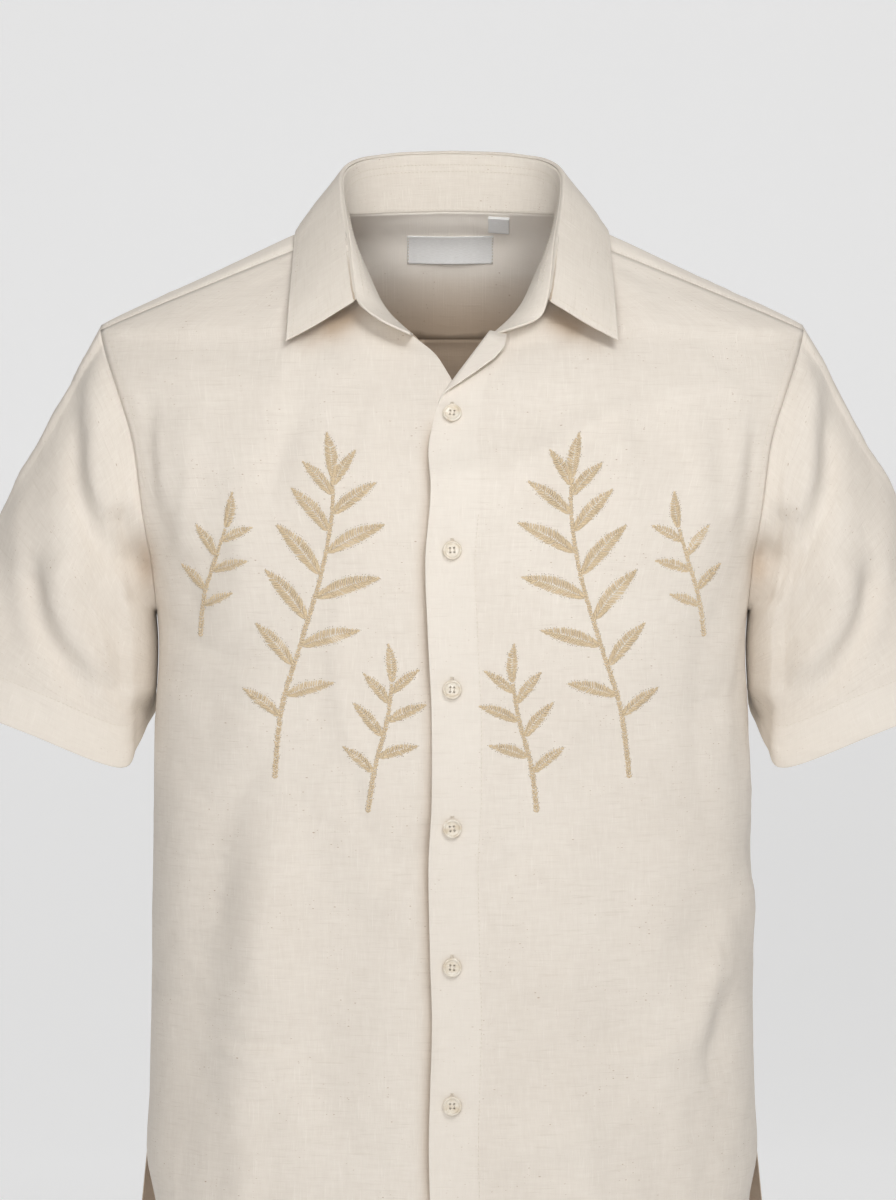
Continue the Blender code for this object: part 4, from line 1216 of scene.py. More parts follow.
def linen(name, light, dark, fleck):
    """Woven linen. The three numbers that scale the cloth are noise cells a metre across the
    panel, down it, and from one face to the other."""
    material, shader, start = new_material(
        name, light, 0.92, Sheen_Weight=0.1, Sheen_Roughness=0.6, Specular_IOR_Level=0.22
    )
    cloth = start.node("ShaderNodeAttribute", {"attribute_name": "cloth"}, out=1)
    warp = cloth.scaled((1900, 110, 7)).noise(1.0, 2.0, 0.55)
    weft = cloth.scaled((90, 1900, 11)).noise(1.0, 2.0, 0.55)
    slub_down = cloth.scaled((700, 48, 3)).noise(1.0, 1.0).over(0.6, 0.76)
    slub_across = cloth.scaled((42, 720, 5)).noise(1.0, 1.0).over(0.6, 0.76)
    shade = cloth.noise(9.0, 3.0, 0.6)
    spot = cloth.scaled((420, 1150, 2)).noise(1.0, 0.0).over(0.775, 0.83)
    rare = cloth.noise(34.0, 1.0).over(0.5, 0.6)
    mottle = cloth.scaled((330, 60, 13)).noise(1.0, 2.0) + cloth.scaled((60, 330, 17)).noise(1.0, 2.0)
    tone = (warp + weft) * 0.3 + shade * 0.45 + mottle * 0.3 - 0.33
    tone = tone + slub_down * 0.16 - slub_across * 0.2
    colour = tone.over(0.1, 0.95).blend((*dark, 1), (*light, 1))
    colour = (spot * rare * 0.75).blend(colour, (*fleck, 1))
    layer = start.node("ShaderNodeAttribute", {"attribute_name": "layer"}, out=2)
    colour = (layer * 0.4).blend(colour, (*light, 1))
    # Painted shade from the shade attribute darkens the colour; where it is negative, painted light
    # turns it toward the neck's light colour
    parts = start.node("ShaderNodeAttribute", {"attribute_name": "shade"}, out=2)
    colour = parts.blend(colour, colour.scaled(INNER_SHADE))
    colour = (parts * -1.0).blend(colour, (*NECK_PAINTED_LIGHT, 1))
    feed(shader, "Base Color", colour)
    relief = warp * 0.5 + weft * 0.5 + slub_down * 0.35 + slub_across * 0.35
    bumped(shader, relief, 0.00022, 0.75)
    return material


LINEN = linen("linen", (0.855, 0.795, 0.715), (0.735, 0.665, 0.585), (0.4, 0.27, 0.17))
COLLAR_LINEN = linen("collar_linen", (0.855, 0.795, 0.712), (0.745, 0.677, 0.594), (0.42, 0.29, 0.18))
# The collar leaf's copy of the linen is darker all over: painted shade
LEAF_LINEN_PAINTED_SHADE = linen("leaf_linen_painted_shade", (0.815, 0.757, 0.678), (0.71, 0.645, 0.566), (0.42, 0.29, 0.18))
print("linen nodes", len(LINEN.node_tree.nodes))


def plain_finish(name, colour, second, roughness, scale, bump, **uniform):
    """A finish with a fine grain of a second colour, for thread and the backdrop."""
    material, shader, start = new_material(name, colour, roughness, **uniform)
    place = start.node("ShaderNodeTexCoord", out=3)
    grain = place.noise(scale, 3.0, 0.6)
    feed(shader, "Base Color", grain.over(0.3, 0.72).blend((*colour, 1), (*second, 1)))
    bumped(shader, grain, bump, 0.6)
    return material


THREAD = plain_finish("sewing_thread", (0.8, 0.735, 0.64), (0.7, 0.63, 0.53), 0.75, 2600, 0.0001)
STRAW = plain_finish("straw_thread", (0.62, 0.475, 0.29), (0.8, 0.66, 0.46), 0.62, 1500, 0.00015,
                     Sheen_Weight=0.25)
# Dark brown for the needle holes: painted shade
NEEDLE_HOLE_SHADE = plain_finish("needle_hole", (0.3, 0.22, 0.14), (0.36, 0.27, 0.18), 0.95, 900, 0.0001)
SWEEP = plain_finish("pale_sweep", (0.74, 0.745, 0.75), (0.735, 0.74, 0.745), 0.95, 4, 0.0001)
sweep_shader = SWEEP.node_tree.nodes["Principled BSDF"]
sweep_shader.inputs["Emission Color"].default_value = (0.935, 0.935, 0.94, 1)
sweep_shader.inputs["Emission Strength"].default_value = 0.35
backdrop.data.materials.append(SWEEP)

# %% [markdown]
# Each front is covered with small creases, placed where the photograph has them: beside
# the armholes, under the collar, across the hips where the shirt was folded, and at the buttons.
# Between them lies a fine crumple of many short dents, which linen never loses.

# %% Creases of the front and back
# Each crease: facing, width, rise, line of x and level
CREASES = (
    (-1, 0.007, 0.0012, ((-0.201, -0.15), (-0.196, -0.19), (-0.1925, -0.225))),
    (-1, 0.006, -0.0009, ((-0.211, -0.128), (-0.2065, -0.172), (-0.204, -0.205))),
    (-1, 0.01, 0.0013, ((-0.182, -0.15), (-0.18, -0.21), (-0.185, -0.27))),
    (-1, 0.009, 0.0015, ((0.196, -0.15), (0.193, -0.19), (0.188, -0.235))),
    (-1, 0.007, -0.0013, ((0.208, -0.16), (0.201, -0.205), (0.196, -0.25))),
    (-1, 0.011, 0.0012, ((0.165, -0.14), (0.17, -0.2), (0.174, -0.26))),
    (-1, 0.013, 0.0011, ((-0.143, -0.17), (-0.14, -0.23), (-0.144, -0.29))),
    (-1, 0.012, -0.0013, ((-0.1, -0.115), (-0.108, -0.16), (-0.125, -0.215))),
    (-1, 0.012, 0.0012, ((0.102, -0.118), (0.112, -0.165), (0.12, -0.23))),
    (-1, 0.01, -0.001, ((0.064, -0.125), (0.07, -0.17), (0.066, -0.225))),
    (-1, 0.01, 0.001, ((-0.05, -0.13), (-0.056, -0.18), (-0.052, -0.24))),
    (-1, 0.0055, -0.001, ((-0.158, -0.57), (-0.132, -0.5735), (-0.108, -0.572))),
    (-1, 0.006, 0.0008, ((-0.16, -0.58), (-0.13, -0.584), (-0.102, -0.581))),
    (-1, 0.0055, -0.0009, ((0.09, -0.57), (0.125, -0.574), (0.162, -0.57))),
    (-1, 0.006, 0.0008, ((0.095, -0.582), (0.13, -0.585), (0.16, -0.579))),
    (-1, 0.014, 0.0024, ((0.187, -0.51), (0.174, -0.548), (0.16, -0.58))),
    (-1, 0.012, -0.002, ((0.195, -0.535), (0.185, -0.57), (0.175, -0.605))),
    (-1, 0.015, -0.0022, ((-0.125, -0.37), (-0.15, -0.43), (-0.16, -0.51))),
    (-1, 0.016, 0.002, ((-0.1, -0.4), (-0.12, -0.47), (-0.128, -0.55))),
    (-1, 0.013, -0.0016, ((-0.124, -0.59), (-0.124, -0.65), (-0.122, -0.73))),
    (-1, 0.015, 0.0018, ((-0.172, -0.59), (-0.17, -0.66), (-0.174, -0.735))),
    (-1, 0.015, 0.0018, ((0.08, -0.59), (0.09, -0.66), (0.088, -0.74))),
    (-1, 0.014, -0.0016, ((0.135, -0.6), (0.14, -0.67), (0.138, -0.74))),
    (-1, 0.025, -0.0034, ((-0.164, -0.43), (-0.172, -0.53), (-0.173, -0.63), (-0.17, -0.74))),
    (-1, 0.024, 0.0026, ((-0.12, -0.42), (-0.133, -0.52), (-0.137, -0.62), (-0.135, -0.74))),
    (-1, 0.024, -0.0026, ((0.17, -0.44), (0.176, -0.54), (0.177, -0.63), (0.172, -0.74))),
    (-1, 0.011, 0.001, ((-0.195, -0.33), (-0.18, -0.35), (-0.162, -0.356))),
    (-1, 0.011, -0.001, ((0.195, -0.33), (0.18, -0.348), (0.16, -0.352))),
    (-1, 0.012, 0.0011, ((-0.065, -0.47), (-0.04, -0.478), (-0.022, -0.476))),
    (-1, 0.009, -0.0009, ((0.03, -0.425), (0.055, -0.43), (0.085, -0.422))),
    (-1, 0.01, 0.001, ((0.035, -0.53), (0.06, -0.535), (0.09, -0.527))),
    (1, 0.014, 0.003, ((-0.15, -0.12), (-0.12, -0.2), (-0.11, -0.32))),
    (1, 0.014, 0.003, ((0.15, -0.12), (0.122, -0.2), (0.112, -0.32))),
    (1, 0.012, -0.0026, ((-0.175, -0.15), (-0.145, -0.22), (-0.13, -0.33))),
    (1, 0.012, -0.0026, ((0.176, -0.145), (0.145, -0.225), (0.132, -0.33))),
    (1, 0.016, 0.0028, ((-0.05, -0.26), (-0.045, -0.4), (-0.052, -0.6))),
    (1, 0.016, 0.0028, ((0.048, -0.26), (0.043, -0.4), (0.05, -0.62))),
    (1, 0.01, -0.0018, ((-0.15, -0.48), (-0.09, -0.49), (-0.03, -0.484))),
    (1, 0.01, -0.0018, ((0.03, -0.486), (0.09, -0.492), (0.15, -0.482))),
    (1, 0.018, 0.0026, ((0.178, -0.35), (0.165, -0.48), (0.17, -0.62))),
    (1, 0.018, 0.0026, ((-0.179, -0.34), (-0.168, -0.48), (-0.172, -0.62))),
)


CREASE_STRENGTH = 2.1
# Pulls beside a button: side, drop. Each is a ridge above a trough: width, rise
BUTTON_PULLS = ((1, -0.006), (1, -0.01), (-1, 0.005), (1, 0.007))
PULL_FOLDS = ((0.003, 0.0007), (0.0035, -0.0006))
PULL_START = 0.008
PULL_SPACING = 0.004


def crumple(flat, count, rise, size, seed):
    """Many short dents in the flat cloth, each with its own place, direction, length, width and
    rise, and bowed along its length."""
    dice = np.random.default_rng(seed)
    u, v = flat[..., 0], flat[..., 1]
    low = np.array([u.min(), v.min()])
    span = np.array([u.max(), v.max()]) - low
    lift = np.zeros(u.shape)
    for _ in range(count):
        place = low + dice.random(2) * span
        turn = dice.random() * math.pi
        length = size * (0.6 + 1.6 * dice.random())
        width = size * (0.16 + 0.22 * dice.random())
        dent = rise * (dice.random() * 2 - 1)
        du, dv = u - place[0], v - place[1]
        near_by = np.hypot(du, dv) < 2.6 * length
        if not near_by.any():
            continue
        along = du[near_by] * math.cos(turn) + dv[near_by] * math.sin(turn)
        across = dv[near_by] * math.cos(turn) - du[near_by] * math.sin(turn)
        bowed = across + 0.25 * along**2 / length
        lift[near_by] += dent * np.exp(-((along / length) ** 2) - (bowed / width) ** 2)
    return lift


def border_fade(shape, borders, cells=7):
    """0 on the named borders of a grid, 1 a few cells inside."""
    rows, columns = np.indices(shape)
    away = {
        "low": rows, "high": shape[0] - 1 - rows,
        "first": columns, "last": shape[1] - 1 - columns,
    }
    fade = np.ones(shape)
    for border in borders:
        fade = fade * ease(away[border] / cells)
    return fade


def body_flat(points):
    """Flat coordinates on the body: length round the section, and level."""
    x, z = points[..., 0], points[..., 2]
    share = np.linspace(0, 1, 200)
    width, front, back = section(ARMPIT_Z)
    depth = front * (1 - share**ROUNDNESS) ** (1 / ROUNDNESS)
    steps = np.hypot(np.diff(share * width), np.diff(depth))
    run = np.concatenate([[0], np.cumsum(steps)])
    here = np.abs(x) / section(z)[0]
    return np.stack([np.sign(x) * np.interp(here, share, run), z], -1)


def button_pulls(x, z):
    """Short tension creases that run out from each button."""
    dice = np.random.default_rng(11)
    lift = np.zeros(x.shape)
    for level in BUTTON_LEVELS[1:]:
        for side, drop in BUTTON_PULLS:
            reach = 0.014 + 0.01 * dice.random()
            start = np.array([side * PULL_START, level + drop * 0.5])
            wander = 0.004 * (dice.random() - 0.5)
            end = np.array([side * (PULL_START + reach), level + drop + wander])
            for width, rise in PULL_FOLDS:
                lift += fold_lift(((-1, width, rise, (start, (start + end) / 2, end)),), x, z, -1)
                end = end - np.array([0, PULL_SPACING])
    return lift


print("hand placed creases", len(CREASES))

# %% [markdown]
# A front is more than its drawn creases. A dent sits where armhole and side seam meet, with painted
# shade in it, the vent draws the edge in, and beside the collar and the lap a soft painted shade
# darkens the cloth.

# %% Settings of the fronts
CENTRE = np.array([0.0, SIDE_Y, -0.35])
HEM_WIDTH = 0.02
HEM_THICK = 0.0011
LAP_FACING = 0.033
UNDER_FACING = 0.03
FACING_THICK = 0.0009
STRIP_WIDTH = 0.018
VENT_DRAWN = 0.0065
VENT_DRAWN_WIDTH = 0.045
# Dent where armhole and side seam meet, and the painted shade in it: x, z, then sizes in metres
POCKET_SPOT = (0.215, -0.248)
POCKET_REACH = 0.0125
POCKET_DEPTH = 0.012
POCKET_DARK = (0.21, -0.254)
POCKET_DARK_SIZE = (0.0075, 0.018)
POCKET_SHADE = 0.75
# Painted shade under the free edge of the collar leaf, from its inner corner toward the point, on both
# sides: facing, width, darkness, line of x and level
UNDER_LEAF = [
    (-1, width, shade, [(side * x, z) for x, z in line])
    for width, shade, line in (
        (0.009, 0.55, ((0.048, -0.074), (0.064, -0.08), (0.084, -0.092), (0.108, -0.106))),
        (0.012, 0.5, ((0.064, -0.08), (0.078, -0.09), (0.09, -0.098))),
    )
    for side in (-1, 1)
]
# The under front beside the edge of the lap: reach and strength of its painted shade, depth of its
# trough
LAP_SHADE_REACH = 0.0048
LAP_SHADE = 0.62
LAP_TROUGH = 0.0018
# How far the lapped edge curls off the layer below, and two waves of it down the edge: rise,
# radians a metre, start
LAP_CURL = 0.0026
LAP_WAVES = ((0.0007, 41, 0), (0.0004, 97, 1))


def creased(panel, facing, borders, seed, count=420, keep=1.0):
    """Adds the drawn creases and the crumple to a body panel."""
    x, z = panel.points[..., 0], panel.points[..., 2]
    lift = fold_lift(CREASES, x, z, facing) * CREASE_STRENGTH
    lift += crumple(panel.flat, count, 0.0006, 0.016, seed)
    lift += crumple(panel.flat, 45, 0.0028, 0.048, seed + 100)
    if facing < 0:
        lift += button_pulls(x, z)
    panel.push_out(lift * border_fade(lift.shape, borders) * keep)


def armpit_pocket(panel):
    """Presses the same soft dent into front and sleeve where the armhole meets the side, and paints
    shade into it.
    """
    x, y, z = np.moveaxis(panel.points, -1, 0)
    before = ease((SIDE_Y + 0.004 - y) / 0.016)
    away = np.hypot(np.abs(x) - POCKET_SPOT[0], z - POCKET_SPOT[1])
    y += POCKET_DEPTH * np.exp(-(away / POCKET_REACH)**2) * before
    across = (np.abs(x) - POCKET_DARK[0]) / POCKET_DARK_SIZE[0]
    along = (z - POCKET_DARK[1]) / POCKET_DARK_SIZE[1]
    panel.painted_shade += POCKET_SHADE * np.exp(-across**2 - along**2) * before


def vent_drawn_in(panel):
    """Draws the side edge of a front toward the middle below the top of the vent."""
    x, _, z = np.moveaxis(panel.points, -1, 0)
    across = np.abs(x)
    near = ease((across - across[:, -1:] + VENT_DRAWN_WIDTH) / VENT_DRAWN_WIDTH)
    x -= np.sign(x) * VENT_DRAWN * near * ease((VENT_Z - z) / 0.05)


def beside_lap(x, z):
    """1 on the under front at the edge of the lap, fading away from it."""
    level, shift = np.array(LAP_WAVER).T
    away = np.maximum(LAP_EDGE_X + np.interp(z, level, shift) - x, 0) / LAP_SHADE_REACH
    return np.exp(-away**2) * ease((-0.148 - z) / 0.03) * (0.85 + 0.15 * np.sin(z * 37))


def front_panel(name, points, flat, seed, keep=1.0):
    """A front with its creases, its vent, the dent at the armpit with its painted shade, and the
    painted shade under the collar.
    """
    panel = Panel(name, points, CENTRE, free=("low", "first"), flat=flat)
    creased(panel, -1, ("last", "high"), seed, keep=keep)
    vent_drawn_in(panel)
    armpit_pocket(panel)
    panel.painted_shade += fold_lift(UNDER_LEAF, panel.points[..., 0], panel.points[..., 2], -1)
    return panel


print("rows of shade under the collar", len(UNDER_LEAF))

# %% [markdown]
# The left front is made first. Its lapel strip stays free of creases, and its lapped edge curls off
# the layer below by a few millimetres, unevenly, as linen does. The right front takes a soft trough
# and a painted shade beside that edge. A facing and a hem thicken both on the inside.

# %% Front pieces
left_points = front_left()
left_flat = body_flat(left_points)
strip_share = np.linspace(1, 0, STRIP_COLUMNS + 1)[:-1]
left_flat[:, :STRIP_COLUMNS, 0] = left_flat[:, STRIP_COLUMNS, 0][:, None] - STRIP_WIDTH * strip_share
smooth_columns = STRIP_COLUMNS + 4
lapel_keep = np.ones(left_points.shape[:2])
lapel_keep[:, :smooth_columns] *= ease((-0.17 - left_points[:, :smooth_columns, 2]) / 0.02)
left = front_panel("left_front_cloth", left_points, left_flat, 3, lapel_keep)
lap_share = np.zeros(left_points.shape[1])
lap_share[:STRIP_COLUMNS] = np.linspace(1, 0, STRIP_COLUMNS)
lap_level = left_points[..., 2]
lap_curl = np.full(lap_level.shape, LAP_CURL)
for rise, pace, phase in LAP_WAVES:
    lap_curl += rise * np.sin(lap_level * pace + phase)
left.points[..., 1] -= lap_curl * lap_share**3 * ease((-0.16 - lap_level) / 0.02)
# No painted inner shade on the lapel strip, whose inner face is turned out
left.dim[:, :STRIP_COLUMNS + 10] = 0
left.band("first", LAP_FACING, FACING_THICK)
left.band("low", HEM_WIDTH, HEM_THICK)
left_piece = wear(left.build(LINEN), "linen", "front_left")

right_points = front_right()
right = front_panel("right_front_cloth", right_points, body_flat(right_points), 5)
by_lap = beside_lap(right.points[..., 0], right.points[..., 2])
# Painted shade beside the edge of the lap
right.painted_shade += LAP_SHADE * by_lap
right.points[..., 1] += LAP_TROUGH * by_lap
right.band("first", UNDER_FACING, FACING_THICK)
right.layer *= ease((-0.15 - right_points[..., 2]) / 0.02)
right.band("low", HEM_WIDTH, HEM_THICK)
right_piece = wear(right.build(LINEN), "linen", "front_right")

# %% [markdown]
# The back is as wide as both fronts, so it takes more dents. The yoke is double and smoother.
# Sleeves crease most at the front of the armpit, and their hems ripple along the stitching.

# %% Back, yoke and sleeves
back_points = back_grid()
back = Panel("back_cloth", back_points, CENTRE, free=("low",), flat=body_flat(back_points))
creased(back, 1, ("first", "last", "high"), 7, count=700)
back.band("low", HEM_WIDTH, HEM_THICK)
back_piece = wear(back.build(LINEN), "linen", "back")

yoke_points = mirrored(yoke_half())
yoke = Panel("yoke_cloth", yoke_points, (0.0, SIDE_Y, -0.3), thick=DOUBLE_CLOTH,
             flat=np.stack([yoke_points[..., 0], -yoke_points[..., 1]], -1))
yoke_lift = crumple(yoke.flat, 90, 0.0004, 0.014, 13)
yoke.push_out(yoke_lift * border_fade(yoke_lift.shape, ("low", "high", "first", "last"), 5))
yoke.layer[:] = 1.0
yoke_piece = wear(yoke.build(LINEN), "linen", "yoke")

# Creases of a sleeve: facing, width, rise, line of distance from the middle and level
SLEEVE_CREASES = (
    (-1, 0.0085, -0.0022, ((0.256, -0.135), (0.256, -0.165), (0.2555, -0.195), (0.244, -0.233),
                           (0.223, -0.266))),
    (-1, 0.012, 0.0042, ((0.244, -0.105), (0.2425, -0.15), (0.2405, -0.195), (0.229, -0.236))),
    (-1, 0.0085, -0.0022, ((0.286, -0.245), (0.279, -0.292), (0.2625, -0.322), (0.244, -0.345))),
    (-1, 0.013, 0.0036, ((0.272, -0.24), (0.265, -0.285), (0.249, -0.315), (0.232, -0.338))),
    (-1, 0.012, 0.0016, ((0.295, -0.17), (0.298, -0.22), (0.29, -0.27))),
    (-1, 0.011, -0.0014, ((0.315, -0.23), (0.308, -0.28), (0.295, -0.318))),
    (-1, 0.0085, -0.0036, ((0.228, -0.212), (0.221, -0.236), (0.214, -0.256))),
    (-1, 0.007, 0.0016, ((0.23, -0.255), (0.223, -0.29), (0.215, -0.33))),
    (1, 0.01, -0.0024, ((0.265, -0.15), (0.26, -0.21), (0.24, -0.262))),
    (1, 0.011, 0.0022, ((0.285, -0.18), (0.28, -0.24), (0.26, -0.3))),
    (1, 0.01, -0.0018, ((0.31, -0.22), (0.3, -0.28), (0.28, -0.32))),
)
SLEEVE_HEM_WIDTH = 0.029
SLEEVE_HEM_THICK = 0.0012
# Ripples along the hem stitching: length, rise and reach, then depth and reach of the sewn groove
RIPPLE = (0.013, 0.00028, 0.005)
GROOVE = (0.00035, 0.0022)
# Gap to the body where the sleeve lies against it under the armpit
BODY_GAP = 0.0014


def sleeve_piece(name, side, node, seed):
    """A sleeve with its creases and hem, laid against the body just below the armpit."""
    points = sleeve_grid(side)
    sleeve = Panel(name, points, points.mean((0, 1)), wrap=True, free=("high",))
    x, y, z = np.moveaxis(points, -1, 0)
    front_side = 1 - ease((y - y.mean(1, keepdims=True) + 0.02) / 0.04)
    lift = fold_lift(SLEEVE_CREASES, np.abs(x), z, -1) * front_side
    lift += fold_lift(SLEEVE_CREASES, np.abs(x), z, 1) * (1 - front_side)
    lift *= CREASE_STRENGTH
    lift += crumple(sleeve.flat, 170, 0.0006, 0.015, seed)
    lift += crumple(sleeve.flat, 22, 0.0013, 0.042, seed + 100)
    u, v = sleeve.flat[..., 0], sleeve.flat[..., 1]
    from_hem = v.max() - v - SLEEVE_HEM_WIDTH
    ripple = np.sin(u * 2 * math.pi / RIPPLE[0] + 2.0 * np.sin(u * 37 + seed))
    lift += RIPPLE[1] * ripple * np.exp(-((from_hem / RIPPLE[2]) ** 2))
    lift -= GROOVE[0] * np.exp(-((from_hem / GROOVE[1]) ** 2))
    sleeve.push_out(lift * border_fade(lift.shape, ("low",), 3))
    x, y, z = np.moveaxis(sleeve.points, -1, 0)
    near_body = np.exp(-(((y + 0.058) / 0.03) ** 2)) * (np.abs(x) < 0.226)
    down = ease((ARMPIT_Z + 0.008 - z) / 0.008) * (1 - ease((-0.338 - z) / 0.02))
    stands_off = np.clip(np.abs(x) - (section(z)[0] + BODY_GAP), 0, None)
    x -= side * (stands_off * near_body * down)
    armpit_pocket(sleeve)
    sleeve.band("high", SLEEVE_HEM_WIDTH, SLEEVE_HEM_THICK)
    return sleeve, wear(sleeve.build(LINEN), "linen", node)


left_sleeve, left_sleeve_piece = sleeve_piece("left_sleeve_cloth", 1, "sleeve_left", 17)
right_sleeve, right_sleeve_piece = sleeve_piece("right_sleeve_cloth", -1, "sleeve_right", 19)

# %% [markdown]
# The stand is smooth. The leaf is lifted off the chest toward its points, most at their corners.

# %% Collar
COLLAR_FREE = ("high", "first", "last")
LEAF_LIFT = 0.0085
CORNER_LIFT = 0.0055
stand = Panel("collar_stand_cloth", stand_grid(), (0.0, -0.05, 0.0), thick=COLLAR_CLOTH, dim=0.0,
              free=COLLAR_FREE)
stand_piece = wear(stand.build(COLLAR_LINEN), "linen", "collar_stand")
leaf = Panel("collar_leaf_cloth", leaf_grid(), (0.0, -0.05, -0.02), thick=COLLAR_CLOTH,
             free=COLLAR_FREE)
leaf_lift = crumple(leaf.flat, 60, 0.00035, 0.013, 23)
leaf.push_out(leaf_lift * border_fade(leaf_lift.shape, ("low",), 12))
fall_share = np.linspace(0, 1, leaf.points.shape[0])[:, None]
point_share = ease((-0.06 - leaf.points[..., 1]) / 0.08)
corner_share = ease((leaf.points[..., 2] + 0.115) / 0.05)
leaf.points[..., 1] -= (LEAF_LIFT + CORNER_LIFT * corner_share) * fall_share**1.2 * point_share
leaf_piece = wear(leaf.build(LEAF_LINEN_PAINTED_SHADE), "linen", "collar_leaf")

# %% [markdown]
# Sewing is rows of short stitches that sink into the cloth at their ends. One small lozenge of
# fourteen corners is copied to every stitch by array arithmetic and all of them are joined in one mesh,
# because thousands of separate objects would be slow.

# %% Stitches
# Rings of a lozenge: place along it from the middle, size. Four corners each, and one at each end
STITCH_RINGS = ((-0.3, 0.8), (0.0, 1.0), (0.3, 0.8))
STITCH_CORNERS = 4 * len(STITCH_RINGS) + 2


def stitch_triangles():
    """Triangles of one lozenge."""
    last = STITCH_CORNERS - 1
    triangles = []
    for k in range(4):
        n = (k + 1) % 4
        triangles.append((0, 1 + k, 1 + n))
        for a in (1, 5):
            triangles += [(a + k, a + 4 + k, a + 4 + n), (a + k, a + 4 + n, a + n)]
        triangles.append((9 + k, last, 9 + n))
    return np.array(triangles)


STITCH_TRIANGLES = stitch_triangles()


def lozenges(starts, ends, normals, width, rise, sink=0.00005):
    """Corners of a stitch from each start to its end; sink is how deep its ends go."""
    along = ends - starts
    length = np.linalg.norm(along, axis=1, keepdims=True)
    along = along / length
    across = unit(np.cross(normals, along))
    up = np.cross(along, across)
    middle = (starts + ends) / 2
    corners = [starts - up * sink]
    for place, size in STITCH_RINGS:
        centre = middle + along * length * place
        corners += [
            centre + across * width / 2 * size,
            centre + up * rise * size,
            centre - across * width / 2 * size,
            centre - up * (sink + 0.0001),
        ]
    corners.append(ends - up * sink)
    return np.stack(corners, 1).reshape(-1, 3)


def join_stitches(name, parts, material):
    """All stitches of a list as one object."""
    verts = np.concatenate(parts)
    starts = np.arange(0, len(verts), STITCH_CORNERS)
    triangles = STITCH_TRIANGLES[None] + starts[:, None, None]
    piece = grid_object(name, verts, triangles.reshape(-1, 3), material)
    print(name, "triangles", len(piece.data.polygons))
    return piece


def seam_row(line, pitch=0.003, share=0.72, width=0.00042, rise=0.00024):
    """A row of stitches along a line of points with normals; each covers a share of the pitch."""
    points, normals = line
    run = run_of(points)
    places = np.arange(int(run[-1] / pitch)) * pitch
    starts = between(places, run, points)
    ends = between(places + pitch * share, run, points)
    return lozenges(starts, ends, unit(between(places + pitch / 2, run, normals)), width, rise)


print("corners of a stitch", STITCH_CORNERS, "triangles", len(STITCH_TRIANGLES))

# %% [markdown]
# Top stitching runs beside every seam and hem at its own distance. The rows are listed once, by
# panel and border, and a loop sews them.

# %% Rows of top stitching
FELLED_ROW = 0.0065
EDGE_ROW = 0.002
LEAF_ROW = 0.005
# Panel, border, distance from it, and where the row starts and ends as shares of the border
SEAM_ROWS = (
    (left_sleeve, "high", SLEEVE_HEM_WIDTH), (right_sleeve, "high", SLEEVE_HEM_WIDTH),
    (left, "low", HEM_WIDTH), (right, "low", HEM_WIDTH), (back, "low", HEM_WIDTH),
    (left, "last", FELLED_ROW, 0.66), (right, "last", FELLED_ROW, 0.66),
    (back, "first", FELLED_ROW, 0.66), (back, "last", FELLED_ROW, 0.66),
    (yoke, "low", EDGE_ROW), (yoke, "high", EDGE_ROW, 0, 0.36), (yoke, "high", EDGE_ROW, 0.64, 1),
    (yoke, "first", FELLED_ROW), (yoke, "last", FELLED_ROW), (left, "first", LAP_FACING, 0.0, 0.8),
    (leaf, "high", LEAF_ROW), (leaf, "first", LEAF_ROW), (leaf, "last", LEAF_ROW),
)
seams = [seam_row(panel.line(*place)) for panel, *place in SEAM_ROWS]
for distance in (0.008, 0.013):
    line = stand.line("high", distance, 0.1, 0.9, inside=True)
    seams.append(seam_row(line, 0.0028, 0.75, 0.0006, 0.00035))
seams.append(seam_row(stand.line("low", 0.0018, inside=True)))
wear(join_stitches("seam_stitches", seams, THREAD), "linen")

# %% [markdown]
# The chest carries embroidery: leafy sprays in thick straw thread. A leaf is worked in fishbone
# stitch, slanted stitches that meet on a middle vein, and a stem in two slanted rows. Each stitch
# is found in the flat, by x and level, and then dropped onto the cloth by a ray from the front, so
# that the sprays follow every fold.

# %% Ground for the embroidery
RAY_START_Y = -0.6


def search_tree(pieces):
    """A search tree over the faces of some panels."""
    verts, faces, base = [], [], 0
    for piece in pieces:
        mesh = piece.data
        co = np.empty(len(mesh.vertices) * 3)
        mesh.vertices.foreach_get("co", co)
        verts.append(co.reshape(-1, 3))
        corners = np.empty(len(mesh.loops), np.int32)
        mesh.loops.foreach_get("vertex_index", corners)
        faces.append(corners.reshape(-1, 4) + base)
        base += len(mesh.vertices)
    return BVHTree.FromPolygons(np.concatenate(verts).tolist(), np.concatenate(faces).tolist())


FRONT_TREE = search_tree((left_piece, right_piece))


def dropped(flat):
    """Points and normals on the fronts under flat points x, z."""
    points = np.empty((len(flat), 3))
    normals = np.empty((len(flat), 3))
    for k, (x, z) in enumerate(flat):
        place, normal = FRONT_TREE.ray_cast(Vector((x, RAY_START_Y, z)), Vector((0, 1, 0)))[:2]
        points[k] = place
        normals[k] = normal if normal.y < 0 else -normal
    return points, normals


print("first button lies at", [round(float(v), 4) for v in dropped([(0.0, FIRST_BUTTON_Z)])[0][0]])

# %% [markdown]
# Three sprays are drawn for the wearer's left and mirrored to the right with a slight sway, as two
# hand guided halves never match. Small dark marks at some stitch ends are painted shade for the needle
# holes, which set them into the cloth.

# %% Sprays
LEAF_STEP = 0.00155
THREAD_WIDTH = 0.00155
THREAD_HEIGHT = 0.00062
STEM_STEP = 0.0019
STEM_STITCH = 0.0022
LEAF_DROOP = 0.16
